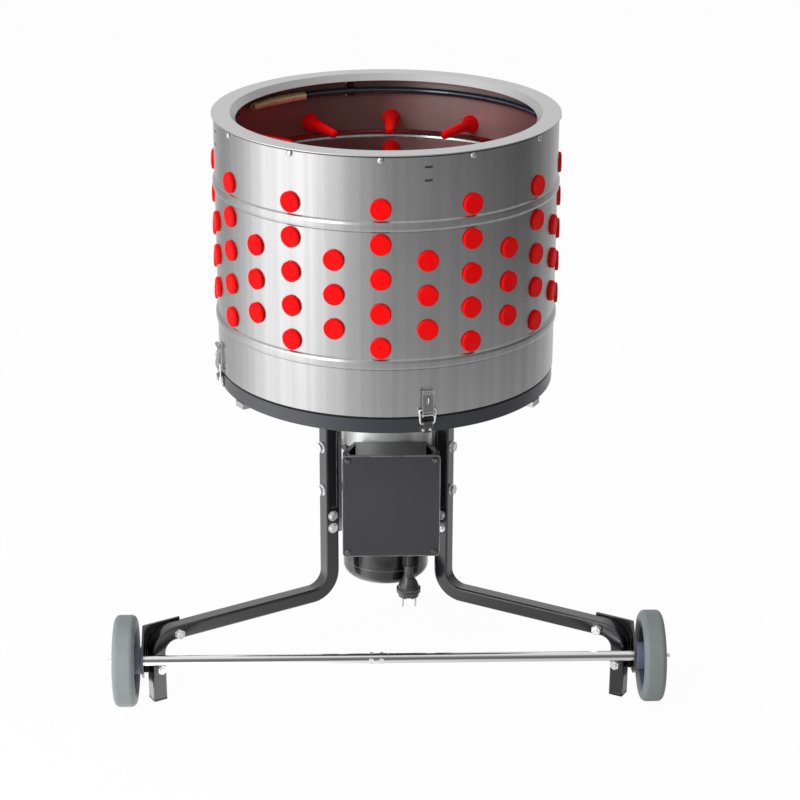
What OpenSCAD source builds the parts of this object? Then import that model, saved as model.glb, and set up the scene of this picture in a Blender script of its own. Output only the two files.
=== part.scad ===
// Drum poultry plucker: a finger-lined steel drum stands on a pan, and a finger plate
// spins in its floor on a geared motor. Three bent tube legs carry it, two with wheels.
// Millimetres, +Z up, front towards -Y. The drum's axis is the centre of every ring.

/* [Drum] */
// Outer diameter of the drum wall
drum_d = 500; // [480:5:520]
// Sheet thickness of the drum wall
drum_wall = 1.5; // [1.2:0.1:2]
// Height of the drum wall
drum_h = 377.5; // [375:0.5:390]
// Height of the middle finger row above the drum's lower edge
row_mid = 203; // [200:1:206]
// Height between finger rows in one column
row_pitch = 50; // [48:1:52]
// Number of tall finger columns, with as many short ones between them
columns = 12; // [6:2:12]
// Turn of the first tall column from the front
column_turn = -3; // [-6:1:6]
// How far the two rolled beads stand out
bead_out = 3; // [2:0.5:3.5]
// Free height between a bead and the finger heads
bead_gap = 1.5; // [1:0.5:2]

/* [Rubber fingers] */
// Diameter of a finger's outer head
head_d = 30; // [28:1:30]
// Thickness of a finger's outer head
head_t = 4.5; // [3.5:0.5:5]
// Diameter of the neck in the wall
neck_d = 20; // [18:1:21]
// Diameter of the base that bears on the wall's other side
base_d = 28; // [25:1:29]
// Length of the tapered base
base_len = 20; // [16:1:24]
// Finger diameter where the base ends
root_d = 16.5; // [15:0.5:18]
// Finger diameter near the tip
tip_d = 13; // [11:0.5:14]
// Length of a finger from the wall to its tip
finger_len = 85; // [75:1:88]
// Clearance of a hole round what passes through it
hole_gap = 0.2; // [0.1:0.05:0.3]
// Seat and running clearance
fit = 0.05; // [0.03:0.01:0.08]

/* [Rim ring] */
// Sheet thickness of the rim ring
rim_sheet = 1.5; // [1.2:0.1:2]
// How far the rim ring stands past the drum wall
rim_over = 3; // [2:0.5:4]
// Width of the rim ring's flat top
rim_flat = 27; // [24:1:30]
// Width of the sloped inner lip
lip_w = 8; // [6:1:10]
// Drop of the sloped inner lip
lip_drop = 9.5; // [8:0.5:11]
// Height of the skirt inside the drum wall
skirt_h = 14.5; // [13:0.5:15]
// Depth of the rim screws below the drum wall's top
rim_screw_drop = 6; // [6:0.5:7]
// Head diameter of a rim screw
rim_screw_head = 9.5; // [9:0.5:10]
// Thread diameter of a rim screw
rim_screw_d = 5; // [4:0.5:5]

/* [Water ring] */
// Diameter of the hose
hose_d = 11; // [10:0.5:12]
// Bore of the hose and of its inlet
hose_bore = 6; // [5:0.5:7]
// Depth of the hose's centre below the drum wall's top
hose_drop = 29; // [28:0.5:31]
// Height between a hose clip's two slots
clip_h = 19; // [18.5:0.5:19]
// Width of a hose clip
clip_w = 10; // [8:1:12]
// Thickness of a hose clip
clip_t = 1.5; // [1:0.1:1.6]

/* [Pan] */
// Height of the pan's underside above the floor
pan_z = 444.5; // [442:0.5:448]
// Height of the pan's rim band
pan_h = 20.5; // [20:0.5:22]
// Sheet thickness of the pan
pan_sheet = 1.5; // [1.2:0.1:2]
// Width of the pan's inward top flange
pan_flange = 6; // [5:0.5:7]
// How far the pan's rim lies inside the drum's outer diameter
pan_inset = 1; // [0.8:0.1:1.2]
// Height of the rubber seal on the pan
seal_h = 4; // [3:0.5:5]
// Width of the rubber seal
seal_w = 4.5; // [4:0.5:5]
// Inner radius of the two feather outlets
outlet_in = 160; // [155:5:170]
// Outer radius of the two feather outlets
outlet_out = 235; // [225:5:240]
// Angle that each feather outlet spans
outlet_span = 40; // [30:1:40]

/* [Finger plate] */
// Diameter of the spinning plate
plate_d = 476; // [472:1:480]
// Thickness of the spinning plate
plate_t = 3; // [3:0.5:4]
// Height of the plate above the drum's lower edge
plate_lift = 1; // [1:0.5:2]
// Diameter of the output shaft
shaft_d = 30; // [28:1:32]
// Diameter of the shaft's end in the plate
stub_d = 20; // [18:1:22]

/* [Gearbox] */
// Wall of the gear housing round the ring gear
housing_wall = 7.95; // [7.45:0.5:9.45]
// Width of the housing's top flange beyond its wall
flange_w = 9.5; // [9:0.5:10.5]
// Thickness of the housing's top flange
flange_t = 12; // [11:1:13]
// Height of the gear housing with its flange
housing_h = 103; // [101:1:106]
// Gear module
gear_m = 2; // [2]
// Teeth on the sun gear
sun_teeth = 18; // [18]
// Teeth on each planet gear
planet_teeth = 21; // [21]
// Width of the gear teeth
gear_w = 22; // [20:1:23]
// Thinning of each tooth, for free running
backlash = 0.3; // [0.25:0.05:0.4]
// Diameter of a planet gear's pin
pin_d = 12; // [11:1:13]
// Outer diameter of the output shaft's bearings
bearing_d = 62; // [60:1:64]
// Width of each bearing
bearing_w = 14; // [13:1:14]

/* [Motor] */
// Outer diameter of the motor tube
motor_d = 132; // [130:1:134]
// Wall of the motor tube
motor_wall = 6; // [5:1:7]
// Height of the motor tube below its flange
motor_h = 190; // [186:1:194]
// Thickness of the motor's flange
motor_flange = 12; // [11:1:13]
// Depth of the rounded fan cover
fan_cover_h = 25; // [25:1:28]
// Rounding of the fan cover's lower edge
fan_cover_r = 14; // [12:1:16]
// Diameter of the rotor shaft
rotor_shaft_d = 24; // [22:1:25]
// Diameter of the rotor
rotor_d = 70; // [66:1:74]
// Height of the stator
stator_h = 110; // [100:5:115]
// Diameter of the cooling fan
fan_d = 104; // [98:1:106]

/* [Control box] */
// Width of the box's cover
cover_w = 145; // [143:1:148]
// Height of the box's cover
cover_h = 163; // [160:1:165]
// Thickness of the box's cover
cover_t = 3; // [2.5:0.5:4]
// Height of the cover's top edge above the floor
cover_top = 359.5; // [356:0.5:360]
// Distance of the cover's front from the drum's axis
cover_front = 130; // [129:1:134]
// Offset of the box to the right
box_x = 5; // [3:1:7]
// How far the box's body ends above the cover's lower edge
box_rise = 10.5; // [9:0.5:12]
// Width of the box's back part
box_back_w = 106; // [102:2:110]
// Wall of the box's body
box_wall = 3; // [2.5:0.5:3]
// Inset of the cover screws from the cover's sides
screw_in_x = 8; // [8:0.5:9]
// Inset of the cover screws from the cover's top and bottom
screw_in_z = 7.5; // [7.5:0.5:9]

/* [Cord and plug] */
// Diameter of the power cord
cord_d = 7; // [6:0.5:7]
// Diameter of the plug's band
plug_d = 37; // [35:1:38]
// Distance between the plug's pins
pin_gap = 19; // [18:1:19]
// Diameter of a plug pin
plug_pin_d = 4.8; // [4:0.4:4.8]
// Length of a plug pin
plug_pin_len = 19; // [18:1:20]

/* [Legs] */
// Width of the square leg tube
leg_w = 22; // [22:1:24]
// Wall of the leg tube
leg_wall = 2; // [1.5:0.5:2.5]
// Corner radius of the leg tube
leg_corner = 3; // [2:0.5:4]
// Gap between the gear housing's flange and the bracket plates
leg_gap = 0.5; // [0.5:0.5:3]
// Height of a leg's level run
run_z = 104; // [100:1:108]
// Distance of a foot from the drum's axis
foot_r = 398; // [390:1:404]
// Bend radius at the knee
knee_r = 34; // [30:1:38]
// Bend radius at the ankle
ankle_r = 28; // [25:1:32]
// Angle of each front leg from straight ahead
leg_turn = 60; // [58:1:62]
// Thickness of a foot plug's head
plug_t = 4; // [3:0.5:5]
// Height of a pan arm
arm_h = 8.5; // [8.5:0.5:12]
// Sheet thickness of a pan arm
arm_t = 2; // [2:0.5:3]
// Thickness of the upright bracket plate behind a leg
bracket_t = 6; // [5:1:6]
// Length of the bracket plate below the arm
bracket_len = 233; // [231:1:240]

/* [Wheels] */
// Outer diameter of a tyre
tyre_d = 135; // [130:1:138]
// Width of a tyre
tyre_w = 32; // [30:1:32]
// Distance of a wheel's middle from its bracket
wheel_out = 23; // [22.5:0.5:25]
// Height of the axle above the floor
axle_z = 74.5; // [72:0.5:76]
// Distance of the axle in front of the front feet
axle_ahead = 23.5; // [23.5:0.5:26]
// Diameter of the axle tube
axle_d = 15; // [14:0.5:15]
// Diameter of a wheel's hub boss
hub_d = 40; // [36:1:44]
// Diameter of the tyre's seat on the rim
rim_seat_d = 100; // [96:1:104]
// Thickness of a wheel bracket
wheel_plate_t = 3; // [2:0.5:3]
// How far the end studs stand past the axle tube
stud_out = 12.5; // [12:0.5:14]

/* [Latches] */
// Turn of the first latch from the front
latch_turn = 12; // [10:1:14]
// Width of a latch lever
lever_w = 17; // [16:0.5:17]
// Sheet thickness of a latch
latch_sheet = 1.2; // [1:0.1:1.2]
// Diameter of the bail's wire
wire_d = 3; // [2.5:0.1:3]
// Diameter of a lever's pivot pin
pivot_d = 3; // [2.5:0.1:3]
// Distance from the lever's pivot to the bail's pivot
crank = 8; // [7.5:0.5:8]
// Length of the bail from its pivot to its bar
bail_len = 21; // [20.5:0.5:21.5]

/* [Hidden] */
$fn = 96;

// Radii and levels of the drum
drum_r = drum_d / 2;
wall_in = drum_r - drum_wall;
pan_r = drum_r - pan_inset;
pan_top = pan_z + pan_h;
drum_z = pan_top + seal_h;
drum_top = drum_z + drum_h;
row_z = drum_z + row_mid;
bead_w = row_pitch - head_d - 2 * bead_gap;
column_step = 360 / columns;
tall_rows = [-2, -1, 0, 1, 2];
short_rows = [-1.5, -0.5, 0.5];

// Rim ring and its screws
rim_r = drum_r + rim_over;
flat_r = rim_r - rim_flat;
lip_r = flat_r - lip_w;
skirt_gap = 0.3;
skirt_r = wall_in - skirt_gap;
screw_z = drum_top - rim_screw_drop;
rim_nut_t = 3.4;

// Water ring
hose_z = drum_top - hose_drop;
hose_wall_gap = 0.5;
hose_r = wall_in - hose_wall_gap - hose_d / 2;
hose_start = -115;
hose_end = 210;
connector_d = 14;
ferrule_d = 13;
nipple_d = 12;
barb_d = 10;
connector_r = wall_in - 0.5 - connector_d / 2;
lower_slot_z = hose_z - hose_d / 2 - hole_gap - clip_t / 2;
upper_slot_z = lower_slot_z + clip_h;
slot_w = clip_w + 1;
slot_h = clip_t + 1.5;
jet_step = 15;

// Spinning plate
plate_z = drum_z + plate_lift;
plate_rings = [[60, 4], [115, 8], [170, 12], [215, 16]];

// Gearbox and motor, stacked down from the pan
housing_z = pan_z - housing_h;
planet_orbit = gear_m * (sun_teeth + planet_teeth) / 2;
ring_teeth = sun_teeth + 2 * planet_teeth;
ring_out = gear_m * (ring_teeth / 2 + 3);
housing_d = 2 * (ring_out + fit + housing_wall);
flange_d = housing_d + 2 * flange_w;
motor_bolt_r = (ring_out + fit + housing_d / 2) / 2;
gear_z = housing_z + 34;
carrier_z = gear_z + gear_w + 1;
carrier_t = 10;
cavity_top = carrier_z + carrier_t;
carrier_r = planet_orbit + pin_d / 2 + 7;
bearing_low = cavity_top + 1;
bearing_high = bearing_low + bearing_w + 1;
seal_z = bearing_high + bearing_w;
motor_top = housing_z;
tube_top = motor_top - motor_flange;
motor_z = tube_top - motor_h;
shield_t = 20;
rotor_bearing_d = 52;
rotor_bearing_w = 14;
rotor_mid = motor_z + 102;
air_gap = 0.4;
fan_z = motor_z - 21;
fan_h = 16;
rotor_low = fan_z + 2;
fan_cover_wall = 1.5;

// Control box
cover_z = cover_top - cover_h;
box_z = cover_z + box_rise;
box_top = cover_top - 0.5;
box_front = cover_front - cover_t;
box_front_w = cover_w - 2;
box_flare = 43;
box_back = 40;
box_saddle = housing_d / 2 + fit;
box_floor = box_z + box_wall;
post_d = 10;
hollow_depth = 22;
hollow_in = 6;
neck_drop = 14;
conduit_d = 24;
cable_at = [33, -80];
gland_h = 7;
gland_d = 18;
switch_at = [-42, -100];
capacitor_d = 35;
capacitor_at = [-5, -box_saddle - box_wall - capacitor_d / 2 - 5.45];

// The power cord hangs straight from its gland to the plug
cord_points = [[33, -80, 200], [33, -80, 186], [33, -80, 171], [33, -80, 157]];
cord_sides = 10;
relief_z = 157;
plug_top = 141;
band_top = 120;
band_low = 114;
plug_face = 107;

// Legs and wheels
arm_z = pan_z - arm_h;
leg_r = flange_d / 2 + leg_gap + bracket_t + leg_w / 2;
leg_out = leg_r + leg_w / 2;
leg_in = leg_r - leg_w / 2;
plate_in = leg_in - bracket_t;
bracket_w = 20;
arm_bolts = [125, 220];
upper_bolt_z = arm_z - 93;
lower_bolt_z = arm_z - 163;
clamp_zs = [arm_z - 204, arm_z - 224];
m8 = 8;
m8_hex = 15;
m8_head = 5.3;
m8_nut = 6.5;
m6 = 6;
m6_hex = 11.5;
m6_head = 4;
m5 = 5;
m4 = 4;
recess_low = arm_z - 190;
recess_w = 15;
recess_t = leg_wall / 2;
foot_bolt = [foot_r - 1, 53];
run_bolt = [foot_r - 33, run_z - 1];
wheel_plate_in = 45;
wheel_plate_out = 13;
flange_x = (foot_r + wheel_plate_out) * sin(leg_turn) + (leg_w / 2 + fit) * cos(leg_turn);
wheel_x = flange_x + wheel_plate_t + wheel_out;
axle_y = foot_r * cos(leg_turn) + axle_ahead;
axle_end = wheel_x + tyre_w / 2;
axle_wall = 2;
axle_joint = -1.7;
joint_bolts = [-26, -11];
centre_y = (foot_r + leg_w / 2 - axle_y - tyre_d / 2) / 2;

// Latches, measured outward from the drum wall and up from the floor
pivot_out = 4.6;
pivot_z = drum_z + 2.5;
lean = 3.6;
bail_out = pivot_out - crank * sin(lean);
bail_z = pivot_z + crank * cos(lean);
bail_lean = 2.4;
bar_out = bail_out - bail_len * sin(bail_lean);
bar_z = bail_z - bail_len * cos(bail_lean);
bend_swell = 0.04;
bend_lap = 0.2;
bail_draw = atan(2.2 / bail_len);
bail_top_bend = 2;
bail_low_bend = 3;
bail_top = [lever_w / 2 + 1.5, -bail_top_bend];
leg_top = bail_top + bail_top_bend * [cos(bail_draw), -sin(bail_draw)];
leg_run = (bail_len + leg_top[1] - bail_low_bend * (1 - sin(bail_draw))) / cos(bail_draw);
leg_low = leg_top + leg_run * [-sin(bail_draw), -cos(bail_draw)];
bail_low = leg_low + bail_low_bend * [-cos(bail_draw), sin(bail_draw)];
lever_top = drum_z + 38;
lever_low = drum_z + 7;
lever_face_top = 3.8;
lever_face_low = 8.4;
plate_w = 14;
hook_w = 13;
hook_plate_w = 20;
hook_in = -pan_inset + fit;
hook_face = hook_in + latch_sheet;
rivet_d = 2.5;
rivet_z = pan_z + pan_sheet + rivet_d / 2 + 0.25;
rivet_gap = 10.3;
rivet_head_d = 4;
rivet_back_d = 2 * (rivet_z - pan_z - pan_sheet) - 2 * fit;
latch_rivets = [drum_z + 16, drum_z + 34];

// A turn about the drum's axis, measured from the front towards +X
module turn(a) rotate([0, 0, a]) children();

// An axis that points outward from the drum's axis at angle a and height z
module outward(a, z, x = 0) turn(a) translate([x, 0, z]) rotate([90, 0, 0]) children();

// A flat profile of (distance outward, height), given a width across it
module side(w, x = 0) translate([x, 0, 0]) rotate([90, 0, -90]) linear_extrude(w, center = true) children();

// A rod from p to q
module rod(p, q, d) {
    v = q - p;
    translate(p) rotate([0, acos(v[2] / norm(v)), atan2(v[1], v[0])]) cylinder(d = d, h = norm(v), $fn = 24);
}

// A rod along X through the point (y, z)
module cross_rod(x0, x1, y, z, d, sides = 24) {
    translate([x0, y, z]) rotate([0, 90, 0]) cylinder(d = d, h = x1 - x0, $fn = sides);
}

module ring(r_in, r_out, z0, z1) {
    translate([0, 0, z0]) difference() {
        cylinder(r = r_out, h = z1 - z0);
        translate([0, 0, -1]) cylinder(r = r_in, h = z1 - z0 + 2);
    }
}

module finger_profile(seat_in, seat_out) {
    polygon([[0, seat_in - finger_len], [tip_d * 0.28, seat_in - finger_len + 1],
             [tip_d * 0.44, seat_in - finger_len + 3.5], [tip_d / 2, seat_in - finger_len + 8],
             [root_d / 2, seat_in - base_len], [base_d / 2, seat_in - 3], [base_d / 2, seat_in],
             [neck_d / 2, seat_in], [neck_d / 2, seat_out], [head_d / 2, seat_out],
             [head_d / 2, seat_out + head_t - 1.5], [head_d / 2 - 1.5, seat_out + head_t],
             [0, seat_out + head_t]]);
}

module wall_finger(a, z) {
    outward(a, z) rotate_extrude($fn = 48)
        finger_profile(sqrt(wall_in * wall_in - base_d * base_d / 4) - fit, drum_r + fit);
}

// Every finger place in the drum wall
module at_fingers() {
    for (i = [0 : columns - 1]) {
        for (row = tall_rows) {
            outward(column_turn + i * column_step, row_z + row * row_pitch) children();
        }
        for (row = short_rows) {
            outward(column_turn + (i + 0.5) * column_step, row_z + row * row_pitch) children();
        }
    }
}

module at_latches() for (i = [0 : 3]) turn(latch_turn + 90 * i) children();

module bead(z) {
    h = bead_w / 2;
    rotate_extrude($fn = 180)
        polygon([[wall_in, z - h], [wall_in, z + h], [drum_r, z + h], [drum_r + bead_out * 0.7, z + h * 0.75],
                 [drum_r + bead_out, z + h * 0.35], [drum_r + bead_out, z - h * 0.35],
                 [drum_r + bead_out * 0.7, z - h * 0.75], [drum_r, z - h]]);
}

module bead_hollow(z) {
    h = bead_w / 2 - drum_wall;
    r = drum_r - drum_wall;
    rotate_extrude($fn = 180)
        polygon([[r - 1, z - h], [r - 1, z + h], [r, z + h], [r + bead_out * 0.7, z + h * 0.75],
                 [r + bead_out, z + h * 0.35], [r + bead_out, z - h * 0.35],
                 [r + bead_out * 0.7, z - h * 0.75], [r, z - h]]);
}

module drum_shell() {
    beads = [row_z - 2.5 * row_pitch, row_z + 1.5 * row_pitch];
    color([0.66, 0.66, 0.67]) difference() {
        union() {
            ring(wall_in, drum_r, drum_z, drum_top);
            for (z = beads) bead(z);
        }
        for (z = beads) bead_hollow(z);
        at_fingers() translate([0, 0, wall_in - 10]) cylinder(d = neck_d + 2 * hole_gap, h = 20, $fn = 32);
        for (i = [0 : columns - 1]) {
            outward(column_turn + i * column_step, screw_z) translate([0, 0, wall_in - 5])
                cylinder(d = rim_screw_d + hole_gap, h = 12, $fn = 24);
        }
        at_latches() {
            for (z = [lower_slot_z, upper_slot_z]) {
                translate([-slot_w / 2, -drum_r - 2, z - slot_h / 2]) cube([slot_w, 8, slot_h]);
            }
            for (z = latch_rivets) {
                translate([0, -drum_r + 5, z]) rotate([90, 0, 0]) cylinder(d = 4 + hole_gap, h = 10, $fn = 24);
            }
        }
    }
}

module rim_ring() {
    run = norm([lip_w, lip_drop]);
    nx = rim_sheet * lip_drop / run;
    nz = rim_sheet * lip_w / run;
    top = drum_top + rim_sheet;
    under = lip_w * (lip_drop + nz - rim_sheet) / lip_drop;
    color([0.76, 0.76, 0.76]) difference() {
        rotate_extrude($fn = 180)
            polygon([[rim_r, drum_top], [rim_r, top - 0.4], [rim_r - 0.4, top], [flat_r, top],
                     [lip_r, top - lip_drop], [lip_r + nx, top - lip_drop - nz], [lip_r + nx + under, drum_top],
                     [skirt_r - rim_sheet, drum_top], [skirt_r - rim_sheet, drum_top - skirt_h],
                     [skirt_r, drum_top - skirt_h], [skirt_r, drum_top]]);
        for (i = [0 : columns - 1]) {
            outward(column_turn + i * column_step, screw_z) translate([0, 0, skirt_r - 8])
                cylinder(d = rim_screw_d + hole_gap, h = 12, $fn = 24);
        }
    }
}

module rim_screws() {
    r = rim_screw_head / 2;
    seat = skirt_r - rim_sheet - 0.1;
    color([0.2, 0.2, 0.21]) for (i = [0 : columns - 1]) outward(column_turn + i * column_step, screw_z) {
        translate([0, 0, drum_r]) rotate_extrude($fn = 24)
            polygon([[0, 0], [r, 0], [r, 0.8], [r * 0.84, 2.2], [r * 0.5, 3.1], [0, 3.5]]);
        translate([0, 0, seat - rim_nut_t]) cylinder(d = rim_screw_d, h = drum_r - seat + rim_nut_t + 0.5, $fn = 24);
        translate([0, 0, seat - rim_nut_t]) cylinder(d = rim_screw_d * 1.8, h = rim_nut_t, $fn = 6);
    }
}

module drum_fingers() {
    seat_in = sqrt(wall_in * wall_in - base_d * base_d / 4) - fit;
    color([0.93, 0.08, 0.07]) at_fingers() rotate_extrude($fn = 48) finger_profile(seat_in, drum_r + fit);
}

// An arc of round tube that hugs the drum wall, from angle a to angle b
module arc(a, b, d, r) turn(a - 90) rotate_extrude(angle = b - a, $fn = 180) translate([r, hose_z]) circle(d = d, $fn = 24);

module water_hose() {
    jets = floor((hose_end - hose_start - 2 * jet_step) / jet_step);
    color([0.11, 0.13, 0.16]) difference() {
        union() {
            arc(hose_start, hose_end, hose_d, hose_r);
            for (i = [0 : jets]) {
                outward(latch_turn - 120 + (i + 0.5) * jet_step, hose_z) translate([0, 0, hose_r - hose_d / 2 - 2.5])
                    cylinder(d = 4, h = 5, $fn = 16);
            }
        }
        arc(hose_start + 1, hose_end + 1, hose_bore, hose_r);
    }
}

module hose_connector() {
    color([0.75, 0.6, 0.3]) difference() {
        union() {
            arc(hose_end + 0.05, hose_end + 6, ferrule_d, connector_r);
            arc(hose_end + 5.8, hose_end + 16.2, connector_d, connector_r);
            for (i = [0 : 3]) {
                arc(hose_end + 16 + i * 2.25, hose_end + 17.25 + i * 2.25, nipple_d, connector_r);
                arc(hose_end + 17.15 + i * 2.25, hose_end + 18.35 + i * 2.25, barb_d, connector_r);
            }
        }
        arc(hose_end - 1, hose_end + 27, hose_bore, connector_r);
    }
}

module hose_clips() {
    r = hose_d / 2 + hole_gap;
    tab = wall_in + drum_wall * 0.8;
    top = upper_slot_z;
    color([0.55, 0.55, 0.56]) at_latches() {
        side(clip_w) difference() {
            union() {
                translate([hose_r, hose_z]) circle(r = r + clip_t, $fn = 48);
                translate([hose_r, lower_slot_z - clip_t / 2]) square([tab - hose_r, clip_t]);
                polygon([[hose_r, hose_z + r], [hose_r, hose_z + r + clip_t], [wall_in - 2.5, top + clip_t / 2],
                         [tab, top + clip_t / 2], [tab, top - clip_t / 2], [wall_in - 1.5, top - clip_t / 2]]);
            }
            translate([hose_r, hose_z]) circle(r = r, $fn = 48);
            translate([hose_r, hose_z - r]) square([r * 3, 2 * r]);
        }
    }
}

module base_pan() {
    hole = shaft_d / 2 + 3;
    color([0.23, 0.23, 0.25]) difference() {
        rotate_extrude($fn = 180)
            polygon([[hole, pan_z], [pan_r, pan_z], [pan_r, pan_top], [pan_r - pan_flange, pan_top],
                     [pan_r - pan_flange, pan_top - pan_sheet], [pan_r - pan_sheet, pan_top - pan_sheet],
                     [pan_r - pan_sheet, pan_z + pan_sheet], [hole, pan_z + pan_sheet]]);
        for (a = [148, -148]) {
            turn(a - outlet_span / 2 - 90) rotate_extrude(angle = outlet_span, $fn = 96)
                translate([outlet_in, pan_z - 2]) square([outlet_out - outlet_in, 8]);
        }
        for (a = [leg_turn, -leg_turn, 180]) for (r = arm_bolts) {
            turn(a) translate([0, -r, pan_z - 2]) cylinder(d = m8 + 2 * hole_gap, h = 8, $fn = 24);
        }
        for (i = [0 : 5]) {
            turn(30 + 60 * i) translate([0, -(housing_d + flange_d) / 4, pan_z - 2])
                cylinder(d = m6 + 2 * hole_gap, h = 8, $fn = 24);
        }
        at_latches() for (x = [-rivet_gap / 2, rivet_gap / 2]) {
            translate([x, -pan_r + 8, rivet_z]) rotate([90, 0, 0]) cylinder(d = rivet_d + hole_gap, h = 12, $fn = 24);
        }
    }
}

module pan_seal() color([0.04, 0.04, 0.04]) ring(pan_r - seal_w, pan_r, pan_top, drum_z);

module feather_plate() {
    color([0.72, 0.72, 0.73]) translate([0, 0, plate_z]) difference() {
        cylinder(d = plate_d, h = plate_t, $fn = 180);
        translate([0, 0, -1]) cylinder(d = stub_d + 2 * fit, h = plate_t + 2, $fn = 48);
        for (p = plate_rings) for (i = [0 : p[1] - 1]) {
            turn(360 * (i + 0.5) / p[1]) translate([0, -p[0], -1]) cylinder(d = neck_d + 2 * hole_gap, h = plate_t + 2, $fn = 32);
        }
    }
}

module plate_fingers() {
    color([0.9, 0.1, 0.08]) for (p = plate_rings) for (i = [0 : p[1] - 1]) {
        turn(360 * (i + 0.5) / p[1]) translate([0, -p[0], plate_z]) rotate([180, 0, 0])
            rotate_extrude($fn = 32) finger_profile(-plate_t - fit, fit);
    }
}

module plate_nut() {
    top = plate_z + plate_t;
    color([0.75, 0.75, 0.76]) difference() {
        union() {
            translate([0, 0, top]) cylinder(d = stub_d * 2, h = 3, $fn = 48);
            translate([0, 0, top + 3]) cylinder(d = stub_d * 1.7, h = 16, $fn = 6);
            translate([0, 0, top + 19]) cylinder(d = stub_d * 1.3, h = 3, $fn = 48);
        }
        translate([0, 0, top - 1]) cylinder(d = stub_d + 2 * fit, h = 18, $fn = 48);
    }
}

module output_carrier() {
    color([0.6, 0.61, 0.62]) union() {
        translate([0, 0, carrier_z]) cylinder(r = carrier_r, h = carrier_t);
        translate([0, 0, cavity_top - 1]) cylinder(d = shaft_d, h = plate_z - cavity_top + 1);
        translate([0, 0, plate_z - 1]) cylinder(d = stub_d, h = plate_t + 17);
        for (i = [0 : 2]) turn(120 * i) translate([planet_orbit, 0, gear_z]) cylinder(d = pin_d, h = gear_w + 2, $fn = 48);
    }
}

// Involute gear outlines. Angles are in degrees.
function inv_angle(rb, r) = r <= rb ? 0 : sqrt(pow(r / rb, 2) - 1) * 180 / PI - acos(rb / r);
function half_tooth(z, r, thin) = let (rp = gear_m * z / 2, rb = rp * cos(20))
    90 / z - thin / rp * 90 / PI + inv_angle(rb, rp) - inv_angle(rb, r);
function polar(r, a) = [r * cos(a), r * sin(a)];
function gear_points(z, low, high, thin) = let (n = 5, rs = [for (k = [0 : n]) low + (high - low) * k / n])
    [for (i = [0 : z - 1]) each concat(
        [for (k = [0 : n]) polar(rs[k], 360 * i / z - half_tooth(z, rs[k], thin))],
        [for (k = [n : -1 : 0]) polar(rs[k], 360 * i / z + half_tooth(z, rs[k], thin))])];

module outer_gear(z) {
    rp = gear_m * z / 2;
    linear_extrude(gear_w) polygon(gear_points(z, rp - 1.25 * gear_m, rp + gear_m, backlash));
}

module planet_gear(i) {
    color([0.55, 0.5, 0.42]) turn(120 * i) translate([planet_orbit, 0, gear_z]) difference() {
        outer_gear(planet_teeth);
        translate([0, 0, -1]) cylinder(d = pin_d + 2 * fit, h = gear_w + 2, $fn = 48);
    }
}

module ring_gear() {
    rp = gear_m * ring_teeth / 2;
    color([0.5, 0.5, 0.52]) translate([0, 0, gear_z]) difference() {
        cylinder(r = ring_out, h = gear_w);
        translate([0, 0, -1]) linear_extrude(gear_w + 2)
            polygon(gear_points(ring_teeth, rp - gear_m, rp + 1.25 * gear_m, -backlash));
    }
}

module rotor_shaft() {
    color([0.62, 0.62, 0.63]) union() {
        translate([0, 0, rotor_low]) cylinder(d = rotor_shaft_d, h = gear_z - rotor_low + 1, $fn = 48);
        translate([0, 0, gear_z]) outer_gear(sun_teeth);
    }
}

module rotor_core() {
    color([0.45, 0.45, 0.47]) ring(rotor_shaft_d / 2 + fit, rotor_d / 2, rotor_mid - stator_h / 2, rotor_mid + stator_h / 2);
}

module cooling_fan() {
    hub = rotor_shaft_d / 2 + 8;
    color([0.12, 0.12, 0.13]) difference() {
        union() {
            translate([0, 0, fan_z]) cylinder(r = hub, h = fan_h);
            translate([0, 0, fan_z + fan_h - 2]) cylinder(d = fan_d, h = 2);
            for (i = [0 : 8]) rotate([0, 0, 40 * i]) translate([hub - 1, -1, fan_z + 1]) cube([fan_d / 2 - hub, 2, fan_h - 2]);
        }
        translate([0, 0, fan_z - 1]) cylinder(d = rotor_shaft_d + 2 * fit, h = fan_h + 2, $fn = 48);
    }
}

module motor_body() {
    r = motor_d / 2;
    b = rotor_bearing_d / 2 + fit;
    eye = rotor_shaft_d / 2 + 1.5;
    seam = 0.05;
    flange = housing_d / 2 - 0.5;
    color([0.1, 0.1, 0.11]) {
        rotate_extrude($fn = 180)
            polygon([[eye, motor_z], [r, motor_z], [r, tube_top - seam], [r - motor_wall, tube_top - seam],
                     [r - motor_wall, motor_z + shield_t], [b + 4, motor_z + shield_t],
                     [b + 4, motor_z + rotor_bearing_w + 3], [b, motor_z + rotor_bearing_w + 3],
                     [b, motor_z + 3], [eye, motor_z + 3]]);
        difference() {
            rotate_extrude($fn = 180)
                polygon([[eye, motor_top], [flange, motor_top], [flange, tube_top],
                         [r - motor_wall - 0.1, tube_top], [r - motor_wall - 0.1, tube_top - 4], [b + 4, tube_top - 4],
                         [b, tube_top - 4], [b, motor_top - 1.5], [eye, motor_top - 1.5]]);
            for (i = [0 : 3]) turn(45 + 90 * i) translate([0, -motor_bolt_r, tube_top - 1])
                cylinder(d = m4 + 2 * fit, h = motor_flange + 2, $fn = 24);
        }
    }
}

module stator() {
    r_in = rotor_d / 2 + air_gap;
    r_out = motor_d / 2 - motor_wall - fit;
    low = rotor_mid - stator_h / 2;
    color([0.6, 0.42, 0.25]) difference() {
        union() {
            ring(r_in, r_out, low, low + stator_h);
            ring(r_in + 4, r_out - 6, low - 16, low + stator_h + 16);
        }
        for (i = [0 : 23]) rotate([0, 0, 15 * i]) translate([r_in - 1, -1, low - 1]) cube([5, 2, stator_h + 2]);
    }
}

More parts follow.
